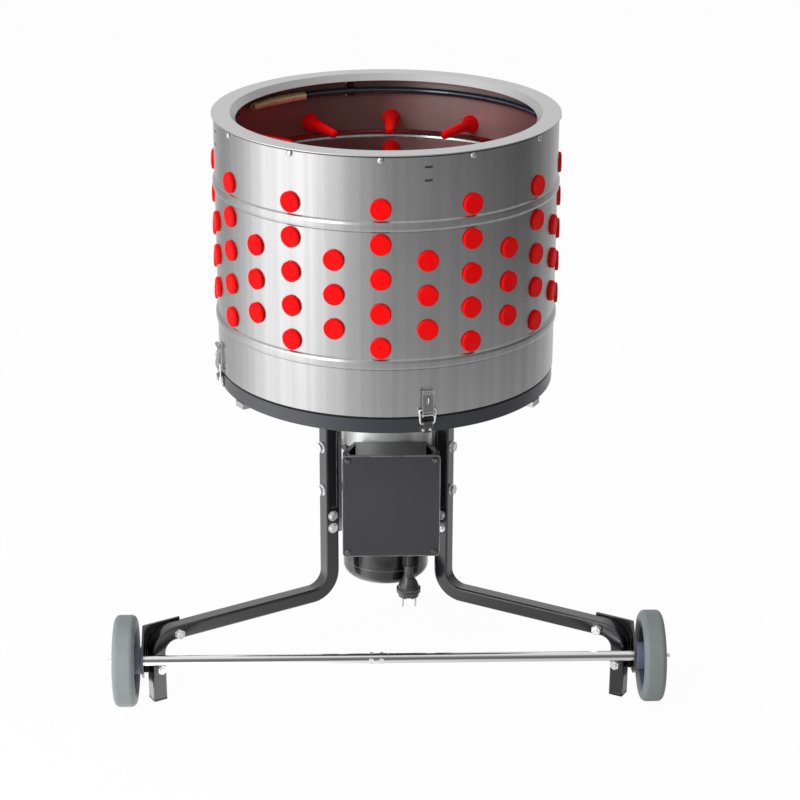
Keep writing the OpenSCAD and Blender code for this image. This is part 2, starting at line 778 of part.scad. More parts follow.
module fan_cover() {
    r = motor_d / 2;
    z = motor_z - fan_cover_h;
    t = fan_cover_wall;
    c = fan_cover_r;
    arc_out = [for (a = [0 : 15 : 90]) [r - c + c * cos(a), z + c - c * sin(a)]];
    arc_in = [for (a = [90 : -15 : 0]) [r - c + (c - t) * cos(a), z + c - (c - t) * sin(a)]];
    color([0.1, 0.1, 0.11]) difference() {
        rotate_extrude($fn = 180) polygon(concat([[r, motor_z]], arc_out, [[0, z]], [[0, z + t]], arc_in, [[r - t, motor_z]]));
        for (i = [0 : 11], d = [22, 36]) rotate([0, 0, 30 * i + d]) translate([d, 0, z - 1]) cylinder(d = 7, h = t + 2, $fn = 16);
    }
}

module gear_housing() {
    r = housing_d / 2;
    cavity = ring_out + fit;
    b = bearing_d / 2 + fit;
    bolt_r = (housing_d + flange_d) / 4;
    color([0.78, 0.78, 0.79]) difference() {
        rotate_extrude($fn = 180)
            polygon([[cavity, housing_z], [r, housing_z], [r, pan_z - flange_t], [flange_d / 2, pan_z - flange_t],
                     [flange_d / 2, pan_z], [b, pan_z], [b, cavity_top], [cavity, cavity_top]]);
        for (i = [0 : 5]) turn(30 + 60 * i) translate([0, -bolt_r, pan_z - flange_t + 2]) cylinder(d = m6 + 2 * fit, h = flange_t, $fn = 24);
        for (i = [0 : 3]) turn(45 + 90 * i) translate([0, -motor_bolt_r, housing_z - 1]) cylinder(d = m4 + 2 * fit, h = 14, $fn = 24);
    }
}

module shaft_seal() color([0.08, 0.08, 0.08]) ring(shaft_d / 2 + fit, bearing_d / 2, seal_z, pan_z);

// One ball bearing: two races joined by the narrower ring of its caged balls
module bearing(d_in, d_out, z, w) {
    a = d_in / 2;
    b = d_out / 2;
    t = (b - a) * 0.3;
    rotate_extrude() polygon([[a, z], [a + t, z], [a + t, z + 3], [b - t, z + 3], [b - t, z], [b, z], [b, z + w],
                              [b - t, z + w], [b - t, z + w - 3], [a + t, z + w - 3], [a + t, z + w], [a, z + w]]);
}

module ball_bearings() {
    d = shaft_d + 2 * fit;
    e = rotor_shaft_d + 2 * fit;
    color([0.7, 0.7, 0.72]) {
        bearing(d, bearing_d, bearing_low, bearing_w);
        bearing(d, bearing_d, bearing_high, bearing_w);
        bearing(e, rotor_bearing_d, motor_z + 3, rotor_bearing_w);
        bearing(e, rotor_bearing_d, motor_top - 1.5 - rotor_bearing_w, rotor_bearing_w);
    }
}

// Plan of the box: square at the front, drawn in towards the motor
module box_plan(inset) {
    f = box_front_w / 2 - inset;
    b = box_back_w / 2 - inset;
    polygon([[box_x - f, -box_front], [box_x + f, -box_front], [box_x + f, -box_front + 12],
             [box_x + b, -box_front + 12 + box_flare], [box_x + b, -box_back], [box_x - b, -box_back],
             [box_x - b, -box_front + 12 + box_flare], [box_x - f, -box_front + 12]]);
}

// The four places of the cover screws
module at_cover_screws() {
    for (sx = [-1, 1], sz = [-1, 1]) {
        translate([box_x + sx * (cover_w / 2 - screw_in_x), -cover_front, cover_z + cover_h / 2 + sz * (cover_h / 2 - screw_in_z)])
            rotate([90, 0, 0]) children();
    }
}

// The step behind the box's straight top edge, down to the lower neck that holds the motor
module box_step(inset) translate([box_x - box_back_w, -box_saddle - inset, box_top - neck_drop - inset])
    cube([2 * box_back_w, box_saddle, neck_drop + inset + 1]);

// What stays open inside the box: its whole height between the back part's sides, and the
// flared sides up to the floors of the two top hollows
module box_cavity() {
    b = box_back_w / 2 - box_wall;
    difference() {
        union() {
            translate([box_x - b, -box_front - 1, box_floor]) cube([2 * b, box_front, box_top - box_wall - box_floor]);
            translate([0, -1, box_floor]) linear_extrude(box_top - hollow_depth - box_wall - box_floor) box_plan(box_wall);
        }
        translate([0, 0, box_z]) cylinder(r = box_saddle + box_wall, h = box_top - box_z);
        box_step(box_wall);
    }
}

module box_body() {
    f = box_front_w / 2;
    b = box_back_w / 2;
    front = -box_front;
    height = box_top - box_z;
    color([0.36, 0.36, 0.37]) difference() {
        union() {
            difference() {
                translate([0, 0, box_z]) linear_extrude(height) box_plan(0);
                box_cavity();
                // Open hollows beside the top, where the sides flare out to the cover
                for (s = [-1, 1]) translate([0, 0, box_top - hollow_depth]) linear_extrude(hollow_depth + 1)
                    polygon([[box_x + s * (b - 1), front + 3], [box_x + s * (f - hollow_in), front + 3],
                             [box_x + s * (f - hollow_in), front + 8], [box_x + s * (b - 1), front + 3 + box_flare]]);
                translate([0, 0, box_z - 1]) cylinder(r = box_saddle, h = height + 2);
                box_step(0);
            }
            at_cover_screws() translate([0, 0, -cover_t - 16]) cylinder(d = post_d, h = 16, $fn = 24);
            // The conduit that carries the box on the motor
            difference() {
                translate([0, -box_saddle - 1, box_z + height / 2]) rotate([-90, 0, 0]) cylinder(d = conduit_d, h = 20, $fn = 48);
                translate([0, 0, box_z]) cylinder(r = motor_d / 2 + fit, h = height);
            }
        }
        at_cover_screws() translate([0, 0, -cover_t - 12]) cylinder(d = m4 + 2 * fit, h = 20, $fn = 24);
        translate([cable_at[0], cable_at[1], box_z - 1]) cylinder(d = 12 + 2 * fit, h = box_wall + 2, $fn = 48);
        translate([switch_at[0], switch_at[1], box_z - 1]) cylinder(d = 20 + 2 * fit, h = box_wall + 2, $fn = 48);
    }
}

module box_cover() {
    c = 6;
    w = cover_w / 2;
    color([0.27, 0.27, 0.29]) difference() {
        translate([box_x, -cover_front + cover_t, cover_z]) rotate([90, 0, 0]) linear_extrude(cover_t) union() {
            translate([-w + c, 0]) square([cover_w - 2 * c, cover_h]);
            translate([-w, c]) square([cover_w, cover_h - 2 * c]);
            for (x = [-w + c, w - c], z = [c, cover_h - c]) translate([x, z]) circle(r = c, $fn = 32);
        }
        at_cover_screws() translate([0, 0, -cover_t - 1]) cylinder(d = m4 + 2 * hole_gap, h = cover_t + 2, $fn = 24);
    }
}

module box_screws() {
    color([0.06, 0.06, 0.06]) at_cover_screws() difference() {
        union() {
            rotate_extrude($fn = 32) polygon([[0, 0], [4.5, 0], [4.5, 1.2], [3.4, 2.4], [0, 2.8]]);
            translate([0, 0, -cover_t - 11]) cylinder(d = m4, h = cover_t + 12, $fn = 24);
        }
        for (a = [45, 135]) rotate([0, 0, a]) translate([-2.6, -0.5, 1.6]) cube([5.2, 1, 2]);
    }
}

module capacitor() {
    color([0.82, 0.82, 0.8]) translate([capacitor_at[0], capacitor_at[1], box_floor]) union() {
        cylinder(d = capacitor_d, h = 90, $fn = 48);
        for (x = [-6, 6]) translate([x - 0.4, -3, 89]) cube([0.8, 6, 9]);
    }
}

module terminal_block() {
    color([0.9, 0.9, 0.86]) translate([box_x + 13, -box_front + 5, box_floor]) difference() {
        cube([48, 16, 18]);
        for (i = [0 : 4]) translate([5.6 + 9.2 * i, 8, 8]) cylinder(d = 4, h = 12, $fn = 16);
    }
}

module switch_body() {
    color([0.05, 0.05, 0.05]) translate([switch_at[0], switch_at[1], box_z]) difference() {
        union() {
            translate([0, 0, -2]) cylinder(d = 24, h = 2, $fn = 48);
            translate([0, 0, -1]) cylinder(d = 20, h = 21, $fn = 48);
        }
        translate([-4.8, -8.6, -3]) cube([9.6, 17.2, 11]);
        cross_rod(-6, 6, 0, 1, 2 + 2 * fit);
    }
}

module switch_rocker() {
    color([0.75, 0.1, 0.08]) translate([switch_at[0], switch_at[1], box_z + 1]) rotate([-10, 0, 0]) union() {
        rotate([90, 0, 90]) linear_extrude(9, center = true)
            polygon([[-7.5, 2.5], [-7.5, -5], [0, -3.4], [7.5, -5], [7.5, 2.5]]);
        cross_rod(-5.8, 5.8, 0, 0, 2);
    }
}

module cable_gland() {
    color([0.08, 0.08, 0.08]) translate([cable_at[0], cable_at[1], box_z]) union() {
        translate([0, 0, -gland_h]) cylinder(d1 = gland_d * 0.7, d2 = gland_d, h = 3, $fn = 48);
        translate([0, 0, -gland_h + 3]) cylinder(d = gland_d, h = gland_h - 3, $fn = 48);
        translate([0, 0, -1]) cylinder(d = 12, h = box_wall + 2, $fn = 48);
        translate([0, 0, box_wall]) cylinder(d = gland_d, h = 4, $fn = 6);
    }
}

module power_cord() {
    n = len(cord_points);
    rings = [for (p = cord_points) for (k = [0 : cord_sides - 1])
        p + cord_d / 2 * [cos(360 * k / cord_sides), sin(360 * k / cord_sides), 0]];
    walls = [for (i = [0 : n - 2]) for (k = [0 : cord_sides - 1]) let (m = (k + 1) % cord_sides)
        [i * cord_sides + k, i * cord_sides + m, (i + 1) * cord_sides + m, (i + 1) * cord_sides + k]];
    first = [for (k = [cord_sides - 1 : -1 : 0]) k];
    last = [for (k = [0 : cord_sides - 1]) (n - 1) * cord_sides + k];
    color([0.07, 0.07, 0.08]) polyhedron(rings, concat(walls, [first], [last]));
}

module plug_body() {
    r = plug_d / 2;
    c = cord_d / 2;
    ribs = [for (i = [0 : 3]) each [[c + 3.4, relief_z - 1.5 - 4 * i], [c + 3.4, relief_z - 3.5 - 4 * i],
                                    [c + 1.8, relief_z - 3.5 - 4 * i], [c + 1.8, relief_z - 5.5 - 4 * i]]];
    color([0.08, 0.08, 0.09]) translate([cable_at[0], cable_at[1], 0]) difference() {
        rotate_extrude($fn = 64) polygon(concat([[0, relief_z], [c + 1.8, relief_z], [c + 1.8, relief_z - 1.5]],
            [for (i = [0 : 14]) ribs[i]], [[c + 1.8, plug_top], [r * 0.42, plug_top], [r * 0.5, plug_top - 4],
             [r * 0.73, band_top + 10], [r * 0.84, band_top + 4.5], [r * 0.88, band_top], [r, band_top], [r, band_low],
             [r * 0.86, band_low], [r * 0.84, plug_face], [0, plug_face]]));
        for (y = [-r - 2, r - 6]) translate([-3.5, y, plug_face - 1]) cube([7, 8, band_low - plug_face]);
        for (x = [-pin_gap / 2, pin_gap / 2]) translate([x, 0, plug_face - 1]) cylinder(d = plug_pin_d + 2 * fit, h = 7, $fn = 24);
    }
}

module plug_pins() {
    color([0.75, 0.75, 0.75]) for (x = [-pin_gap / 2, pin_gap / 2]) {
        translate([cable_at[0] + x, cable_at[1], plug_face - plug_pin_len]) cylinder(d1 = plug_pin_d * 0.7, d2 = plug_pin_d, h = 2, $fn = 24);
        translate([cable_at[0] + x, cable_at[1], plug_face - plug_pin_len + 2]) cylinder(d = plug_pin_d, h = plug_pin_len + 3, $fn = 24);
    }
}

// Square tube section with rounded corners
module tube_section(w, c) {
    h = w / 2;
    polygon([for (q = [0 : 3]) for (a = [0 : 30 : 90])
        let (u = 90 * q + a) [(h - c) * (q == 0 || q == 3 ? 1 : -1) + c * cos(u), (h - c) * (q < 2 ? 1 : -1) + c * sin(u)]]);
}

// The bent path of a leg, filled with a tube section of width w
module leg_path(w, c, over) {
    translate([0, -leg_r, run_z + knee_r]) linear_extrude(arm_z - run_z - knee_r + over) tube_section(w, c);
    translate([0, -leg_r - knee_r, run_z + knee_r]) rotate([90, 0, -90]) rotate([0, 0, 180])
        rotate_extrude(angle = 90) translate([knee_r, 0]) tube_section(w, c);
    translate([0, -leg_r - knee_r, run_z]) rotate([90, 0, 0]) linear_extrude(foot_r - ankle_r - leg_r - knee_r) tube_section(w, c);
    translate([0, -foot_r + ankle_r, run_z - ankle_r]) rotate([90, 0, -90])
        rotate_extrude(angle = 90) translate([ankle_r, 0]) tube_section(w, c);
    translate([0, -foot_r, plug_t - over]) linear_extrude(run_z - ankle_r - plug_t + over) tube_section(w, c);
}

// Holes for the bolts that run outward and across through a leg
module leg_holes(wheeled) {
    for (z = [upper_bolt_z, lower_bolt_z]) outward(0, z) translate([0, 0, plate_in - 5]) cylinder(d = m8 + 2 * hole_gap, h = leg_out + 10 - plate_in, $fn = 24);
    for (z = clamp_zs) cross_rod(-leg_w, leg_w, -leg_r, z, m6 + 2 * hole_gap);
    if (wheeled) for (p = [foot_bolt, run_bolt]) cross_rod(-leg_w, leg_w, -p[0], p[1], m8 + 2 * hole_gap);
}

// front is the side, +1 or -1 along the leg's own X, that faces forward
module leg(a, front, wheeled) {
    side = front * leg_w / 2;
    color([0.24, 0.24, 0.25]) turn(a) difference() {
        leg_path(leg_w, leg_corner, 0);
        leg_path(leg_w - 2 * leg_wall, leg_corner - leg_wall / 2, 1);
        leg_holes(wheeled);
        translate([side - recess_t, -leg_r - recess_w / 2, recess_low]) cube([2 * recess_t, recess_w, arm_z - recess_low - 6]);
    }
}

module foot_plugs() {
    inner = leg_w - 2 * leg_wall - 2 * fit;
    color([0.05, 0.05, 0.05]) for (a = [-leg_turn, leg_turn, 180]) turn(a) translate([0, -foot_r, 0]) union() {
        linear_extrude(plug_t) tube_section(leg_w, leg_corner);
        translate([0, 0, plug_t - 1]) linear_extrude(16) tube_section(inner, leg_corner - leg_wall / 2);
    }
}

module pan_brackets() {
    out = drum_r;
    color([0.72, 0.73, 0.74]) for (a = [-leg_turn, leg_turn, 180]) turn(a) difference() {
        union() {
            translate([-leg_w / 2, -out, arm_z]) cube([leg_w, out - plate_in, arm_h]);
            translate([-bracket_w / 2, -leg_in + fit, arm_z - bracket_len]) cube([bracket_w, bracket_t - fit, bracket_len + 1]);
        }
        translate([-leg_w / 2 + arm_t, -out + arm_t, arm_z - 1])
            cube([leg_w - 2 * arm_t, out - leg_out - 2 * arm_t, arm_h - arm_t + 1]);
        for (z = [upper_bolt_z, lower_bolt_z]) outward(0, z) translate([0, 0, plate_in - 5]) cylinder(d = m8 + 2 * hole_gap, h = 20, $fn = 24);
        for (r = arm_bolts) translate([0, -r, arm_z - 1]) cylinder(d = m8 + 2 * hole_gap, h = arm_h + 2, $fn = 24);
    }
}

// A hex bolt along +Z: its head's seat is at 0, its nut's seat at -grip
module bolt(d, hex, head, nut, grip, tail) {
    cylinder(d = hex, h = head, $fn = 6);
    translate([0, 0, -grip - nut - tail]) cylinder(d = d, h = grip + nut + tail + 1, $fn = 24);
    translate([0, 0, -grip - nut]) cylinder(d = hex, h = nut, $fn = 6);
}

// A domed bolt along +Z, for the inside of the pan
module dome_bolt(d, length) {
    rotate_extrude($fn = 24) polygon([[0, 0], [d, 0], [d, 0.8], [d * 0.6, 3], [0, 3.6]]);
    translate([0, 0, -length]) cylinder(d = d, h = length + 1, $fn = 24);
}

// The wheel bolts of one front leg, with the bracket plate behind the leg
module wheel_bolts(front) {
    grip = leg_w + wheel_plate_t + 2 * fit;
    for (p = [foot_bolt, run_bolt]) {
        translate([-front * (leg_w / 2 + wheel_plate_t + 2 * fit), -p[0], p[1]]) rotate([0, -front * 90, 0])
            bolt(m8, m8_hex, m8_head, m8_nut, grip, 2);
    }
}

module frame_bolts() {
    washer = 1.5;
    bolt_r = (housing_d + flange_d) / 4;
    sleeve = axle_d / 2 - axle_wall - fit;
    color([0.78, 0.78, 0.79]) {
        for (leg = [[-leg_turn, 1], [leg_turn, -1], [180, -1]]) turn(leg[0]) {
            for (z = [upper_bolt_z, lower_bolt_z]) outward(0, z) translate([0, 0, leg_out]) union() {
                cylinder(d = 17, h = washer, $fn = 32);
                translate([0, 0, washer]) bolt(m8, m8_hex, m8_head, m8_nut, leg_out - plate_in + washer, 0.5);
            }
            for (z = clamp_zs) translate([leg[1] * leg_w / 2, -leg_r, z]) rotate([0, leg[1] * 90, 0]) union() {
                cylinder(d = 16, h = washer, $fn = 32);
                translate([0, 0, washer]) bolt(m6, m6_hex, m6_head, 5, leg_w + washer, 8);
            }
            for (r = arm_bolts) translate([0, -r, pan_z + pan_sheet]) union() {
                dome_bolt(m8, pan_sheet + arm_t + m8_nut + 1);
                translate([0, 0, -pan_sheet - arm_t]) mirror([0, 0, 1]) cylinder(d = m8_hex, h = m8_nut, $fn = 6);
            }
        }
        turn(-leg_turn) wheel_bolts(1);
        turn(leg_turn) wheel_bolts(-1);
        for (i = [0 : 5]) turn(30 + 60 * i) translate([0, -bolt_r, pan_z + pan_sheet]) dome_bolt(m6, pan_sheet + 9);
        for (i = [0 : 3]) turn(45 + 90 * i) translate([0, -motor_bolt_r, tube_top]) union() {
            translate([0, 0, -3]) cylinder(d = 7, h = 3, $fn = 24);
            translate([0, 0, -1]) cylinder(d = m4, h = motor_flange + 12, $fn = 24);
        }
        for (x = joint_bolts) translate([x, -axle_y - axle_d / 2, axle_z]) rotate([90, 0, 0])
            bolt(m5, 9.2, 3.5, 4, axle_d, 1);
        for (s = [-1, 1]) translate([s * axle_end, -axle_y, axle_z]) rotate([0, s * 90, 0]) union() {
            translate([0, 0, -18]) cylinder(r = sleeve, h = 18, $fn = 48);
            translate([0, 0, -1]) cylinder(d = 6, h = stud_out + 1, $fn = 24);
            translate([0, 0, 0.3]) cylinder(d = 22, h = washer, $fn = 48);
            translate([0, 0, 0.3 + washer]) cylinder(d = m6_hex, h = 5, $fn = 6);
        }
    }
}

// One wheel bracket: a plate behind the leg, bent forward beside the wheel. s is +1 on the right.
module wheel_bracket(s) {
    plate_low = axle_z - 34.5;
    plate_high = run_z + 14;
    tip = -axle_y - 13.5;
    bend = ankle_r - leg_w / 2 + 1;
    turn(s * leg_turn) translate([s > 0 ? leg_w / 2 + fit : -leg_w / 2 - fit - wheel_plate_t, -foot_r, 0])
        rotate([90, 0, 90]) linear_extrude(wheel_plate_t) polygon(concat(
            [[-wheel_plate_out, plate_low], [ankle_r - bend, plate_low]],
            [for (a = [0 : 15 : 90]) [ankle_r - bend * cos(a), run_z - ankle_r + bend * sin(a)]],
            [[wheel_plate_in, run_z - leg_w / 2 + 1], [wheel_plate_in, plate_high], [-wheel_plate_out, plate_high]]));
    back = -(foot_r + wheel_plate_out) * cos(leg_turn) + (leg_w / 2 + fit + wheel_plate_t) * sin(leg_turn);
    translate([s > 0 ? flange_x : -flange_x - wheel_plate_t, 0, 0]) rotate([90, 0, 90]) linear_extrude(wheel_plate_t)
        polygon([[back - 1.5, plate_low], [back - 1.5, plate_high], [tip + 6, axle_z + 18], [tip, axle_z + 11],
                 [tip, axle_z - 16], [tip + 8, axle_z - 26]]);
}

module wheel_brackets() {
    color([0.09, 0.09, 0.1]) for (s = [-1, 1]) difference() {
        wheel_bracket(s);
        translate([s * flange_x, -axle_y, axle_z]) rotate([0, 90, 0]) cylinder(d = axle_d + 2 * fit, h = 20, center = true, $fn = 48);
        turn(s * leg_turn) for (p = [foot_bolt, run_bolt]) cross_rod(-leg_w, leg_w, -p[0], p[1], m8 + 2 * hole_gap);
    }
}

module axle_tubes() {
    bore = axle_d - 2 * axle_wall;
    color([0.8, 0.8, 0.82]) difference() {
        union() {
            cross_rod(-axle_end, axle_joint - 0.3, -axle_y, axle_z, axle_d, 48);
            cross_rod(axle_joint + 0.3, axle_end, -axle_y, axle_z, axle_d, 48);
        }
        cross_rod(-axle_end - 1, axle_end + 1, -axle_y, axle_z, bore, 48);
        for (x = joint_bolts) translate([x, -axle_y, axle_z]) rotate([90, 0, 0]) cylinder(d = m5 + hole_gap, h = 30, center = true, $fn = 24);
    }
}

module axle_spigot() {
    color([0.5, 0.5, 0.52]) difference() {
        cross_rod(axle_joint - 36, axle_joint + 34, -axle_y, axle_z, axle_d - 2 * axle_wall - 2 * fit, 48);
        for (x = joint_bolts) translate([x, -axle_y, axle_z]) rotate([90, 0, 0]) cylinder(d = m5 + hole_gap, h = 30, center = true, $fn = 24);
    }
}

// Places a wheel part made about Z, with +Z outward. s is +1 on the right.
module at_wheel(s) translate([s * wheel_x, -axle_y, axle_z]) rotate([0, s * 90, 0]) children();

module tyre(s) {
    r = tyre_d / 2;
    w = tyre_w / 2;
    c = 8;
    seat = rim_seat_d / 2;
    arc_up = [for (a = [0 : 15 : 90]) [r - c + c * cos(a), w - c + c * sin(a)]];
    arc_low = [for (a = [0 : 15 : 90]) [r - c + c * sin(a), -w + c - c * cos(a)]];
    color([0.5, 0.51, 0.52]) at_wheel(s) rotate_extrude($fn = 120)
        polygon(concat([[seat + 4, -w], each arc_low], arc_up, [[seat + 4, w], [seat, w - 3], [seat, -w + 3]]));
}

module wheel_rim(s) {
    seat = rim_seat_d / 2 - fit;
    w = tyre_w / 2 - 4;
    inner = -(wheel_x - flange_x - wheel_plate_t - 0.6);
    color([0.42, 0.46, 0.52]) at_wheel(s) difference() {
        union() {
            ring(seat - 5, seat, -w, w);
            translate([0, 0, -2.5]) cylinder(r = seat - 2, h = 5);
            translate([0, 0, inner]) cylinder(d = hub_d, h = tyre_w / 2 - inner);
        }
        translate([0, 0, -tyre_w]) cylinder(d = axle_d + 2 * fit, h = 2 * tyre_w, $fn = 48);
        for (i = [0 : 5]) rotate([0, 0, 60 * i]) translate([(seat - 5 + hub_d / 2) / 2, 0, -5]) cylinder(d = 16, h = 10, $fn = 32);
    }
}

// The drum wall's surface in front of a latch, as the start of the outward distances
module at_wall() translate([0, -drum_r, 0]) children();

module latch_plates() {
    ear = latch_sheet;
    ear_x = plate_w / 2 - ear / 2;
    color([0.7, 0.7, 0.71]) at_latches() at_wall() {
        translate([-plate_w / 2, -fit - latch_sheet, drum_z + 1.5]) cube([plate_w, latch_sheet, 41]);
        for (x = [-ear_x, ear_x]) side(ear, x)
            polygon([[fit, pivot_z - 2], [pivot_out, pivot_z - 2.7], [pivot_out + 2.4, pivot_z - 1],
                     [pivot_out + 2.4, pivot_z + 1.2], [pivot_out, pivot_z + 2.7], [fit, pivot_z + 6]]);
        cross_rod(-lever_w / 2 - 0.4, lever_w / 2 + 0.4, -pivot_out, pivot_z, pivot_d);
        for (z = latch_rivets) {
            translate([0, drum_wall + 1.4, z]) rotate([90, 0, 0]) cylinder(d = 4, h = drum_wall + latch_sheet + 1.4, $fn = 24);
            translate([0, drum_wall + 1.4, z]) rotate([90, 0, 0]) cylinder(d = 7, h = 1.2, $fn = 24);
        }
    }
}

module latch_hooks() {
    top = bar_z + wire_d / 2 + 0.1;
    lip = bar_out + wire_d / 2 + 1.1;
    low = pan_z - 1.5;
    behind = pan_inset + pan_sheet;
    color([0.07, 0.07, 0.08]) at_latches() at_wall() union() {
        side(hook_w) polygon([[hook_in, low], [hook_face, low], [hook_face, top - 1.2], [hook_face + 1.2, top],
            [lip - 1, top], [lip, top - 1.1], [lip, bar_z - 5], [lip + 1.5, bar_z - 5], [lip + 1.5, top - 0.5],
            [lip - 0.4, top + 1.5], [hook_face + 0.4, top + 1.5], [hook_in, top]]);
        side(hook_plate_w) polygon([[hook_in, low + 2], [hook_face, low + 2], [hook_face, bar_z - 1.5], [hook_in, bar_z - 1.5]]);
        for (x = [-rivet_gap / 2, rivet_gap / 2]) translate([x, 0, rivet_z]) rotate([90, 0, 0]) union() {
            translate([0, 0, -behind - 1]) cylinder(d = rivet_d, h = behind + 1 + hook_face, $fn = 24);
            translate([0, 0, -behind - 1]) cylinder(d = rivet_back_d, h = 1 - fit, $fn = 24);
            translate([0, 0, hook_face - 0.1]) cylinder(d = rivet_head_d, h = 0.6, $fn = 24);
        }
    }
}

module latch_lever(i) {
    slope = (lever_face_low - lever_face_top) / (lever_top - lever_low);
    eye_z = (lever_top + lever_low) / 2 + 2.5;
    eye_out = lever_face_top + slope * (lever_top - eye_z);
    t = latch_sheet;
    half = lever_w / 2;
    color([0.75, 0.75, 0.76]) turn(latch_turn + 90 * i) at_wall() difference() {
        union() {
            side(lever_w) polygon([[lever_face_top - t, lever_top], [lever_face_top, lever_top],
                                   [lever_face_low, lever_low], [lever_face_low - t, lever_low]]);
            for (s = [-1, 1]) side(t, s * (half - t / 2))
                polygon([[lever_face_top, lever_top], [lever_face_low, lever_low], [pivot_out + 3.4, pivot_z],
                         [pivot_out + 2.3, pivot_z - 2.3], [pivot_out, pivot_z - 3.3], [pivot_out - 2.3, pivot_z - 2.3],
                         [pivot_out - 3.3, pivot_z], [1.3, pivot_z + 26], [lever_face_top - t, lever_top]]);
            cross_rod(-half, half, -lever_face_top - 1.2, lever_top - 0.5, 6);
            translate([0, -eye_out, eye_z]) rotate([90, 0, -90]) rotate([0, 0, -97])
                rotate_extrude(angle = 180, $fn = 32) translate([4, 0]) circle(d = 1.6, $fn = 16);
        }
        cross_rod(-half - 1, half + 1, -pivot_out, pivot_z, pivot_d + 2 * fit);
        cross_rod(-half - 1, half + 1, -bail_out, bail_z, wire_d + 2 * fit);
    }
}

// A bend in the bail's wire, in the plane of the bail, from angle a to angle b about c
module wire_bend(c, r, a, b) {
    translate([c[0], 0, c[1]]) rotate([90, 0, 0]) rotate([0, 0, a])
        rotate_extrude(angle = b - a, $fn = 48) translate([r, 0]) circle(d = wire_d + bend_swell, $fn = 24);
}

// A straight wire in the plane of the bail, run a little way into the bends at its ends
module wire(p, q) {
    u = bend_lap * (q - p) / norm(q - p);
    rod([p[0] - u[0], 0, p[1] - u[1]], [q[0] + u[0], 0, q[1] + u[1]], wire_d);
}

// One side of a bail: a pivot end, a bend, a leg that draws in, and the bend to the bar
module bail_side() {
    rod([lever_w / 2 - latch_sheet + 0.2, 0, 0], [bail_top[0] + bend_lap, 0, 0], wire_d);
    wire_bend(bail_top, bail_top_bend, -bail_draw, 90);
    wire(leg_top, leg_low);
    wire_bend(bail_low, bail_low_bend, -90, -bail_draw);
}

module latch_bail(i) {
    color([0.82, 0.82, 0.83]) turn(latch_turn + 90 * i) at_wall()
        translate([0, -bail_out, bail_z]) rotate([bail_lean, 0, 0]) union() {
            bail_side();
            mirror([1, 0, 0]) bail_side();
            wire([-bail_low[0], -bail_len], [bail_low[0], -bail_len]);
        }
}

// The frame's origin is on the floor, in the middle of the whole outline
module place() translate([0, -centre_y, 0]) children();

place() base_pan();
place() pan_seal();
place() drum_shell();
place() rim_ring();
place() rim_screws();
place() drum_fingers();
place() water_hose();
place() hose_connector();
place() hose_clips();
place() feather_plate();
place() plate_fingers();
place() plate_nut();
place() output_carrier();
place() rotor_shaft();
place() rotor_core();
place() cooling_fan();
place() planet_gear(0);  // planet_gear_1
place() planet_gear(1);  // planet_gear_2
place() planet_gear(2);  // planet_gear_3
place() motor_body();
place() stator();
place() fan_cover();
place() gear_housing();
place() ring_gear();
place() shaft_seal();
place() ball_bearings();
place() box_body();
place() box_cover();
place() box_screws();
place() capacitor();
place() terminal_block();
place() switch_body();
place() switch_rocker();
place() cable_gland();
place() power_cord();
place() plug_body();
place() plug_pins();
place() leg(-leg_turn, 1, true);  // leg_front_left
place() leg(leg_turn, -1, true);  // leg_front_right
place() leg(180, -1, false);  // leg_rear
place() foot_plugs();
place() pan_brackets();
place() frame_bolts();
place() wheel_brackets();
place() axle_tubes();
place() axle_spigot();
place() tyre(-1);  // tyre_left
place() tyre(1);  // tyre_right
place() wheel_rim(-1);  // rim_left
place() wheel_rim(1);  // rim_right
place() latch_plates();
place() latch_hooks();
place() latch_lever(0);  // latch_lever_1
place() latch_lever(1);  // latch_lever_2
place() latch_lever(2);  // latch_lever_3
place() latch_lever(3);  // latch_lever_4
place() latch_bail(0);  // latch_bail_1
place() latch_bail(1);  // latch_bail_2
place() latch_bail(2);  // latch_bail_3
place() latch_bail(3);  // latch_bail_4
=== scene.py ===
"""Looks of a drum poultry plucker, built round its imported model.

Metres, +Z up, front towards -Y. The drum's axis stands a little in front of the origin.
"""

import logging
import math
from dataclasses import dataclass
from enum import Enum
from typing import Any

import bmesh
import bpy
from mathutils import Matrix, Vector


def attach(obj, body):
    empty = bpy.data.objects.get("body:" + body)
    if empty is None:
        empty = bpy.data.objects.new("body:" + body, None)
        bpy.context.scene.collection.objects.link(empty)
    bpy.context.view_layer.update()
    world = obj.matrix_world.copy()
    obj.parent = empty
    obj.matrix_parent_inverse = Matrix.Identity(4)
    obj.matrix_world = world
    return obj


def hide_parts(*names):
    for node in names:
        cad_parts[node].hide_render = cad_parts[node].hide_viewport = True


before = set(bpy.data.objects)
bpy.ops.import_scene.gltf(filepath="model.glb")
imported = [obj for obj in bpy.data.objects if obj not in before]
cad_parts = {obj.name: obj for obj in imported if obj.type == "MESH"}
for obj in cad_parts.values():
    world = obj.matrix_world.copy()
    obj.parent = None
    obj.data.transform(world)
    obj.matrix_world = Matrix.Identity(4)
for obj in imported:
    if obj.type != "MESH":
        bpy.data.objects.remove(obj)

LOG = logging.getLogger("poultry_plucker")
# Y of the drum's axis
AXIS_Y = -0.0595
Colour = tuple[float, float, float]
Point = tuple[float, float, float]


class Maths(Enum):
    """Operations of a Math node that the finishes use."""

    ADD = "ADD"
    SUBTRACT = "SUBTRACT"
    MULTIPLY = "MULTIPLY"
    DIVIDE = "DIVIDE"
    ARCTAN2 = "ARCTAN2"
    SQRT = "SQRT"
    MAXIMUM = "MAXIMUM"


class Grain(Enum):
    """Ways in which a metal's fine marks run."""

    ROUND_THE_DRUM = "round"
    TURNED = "turned"
    ALL_WAYS = "all"


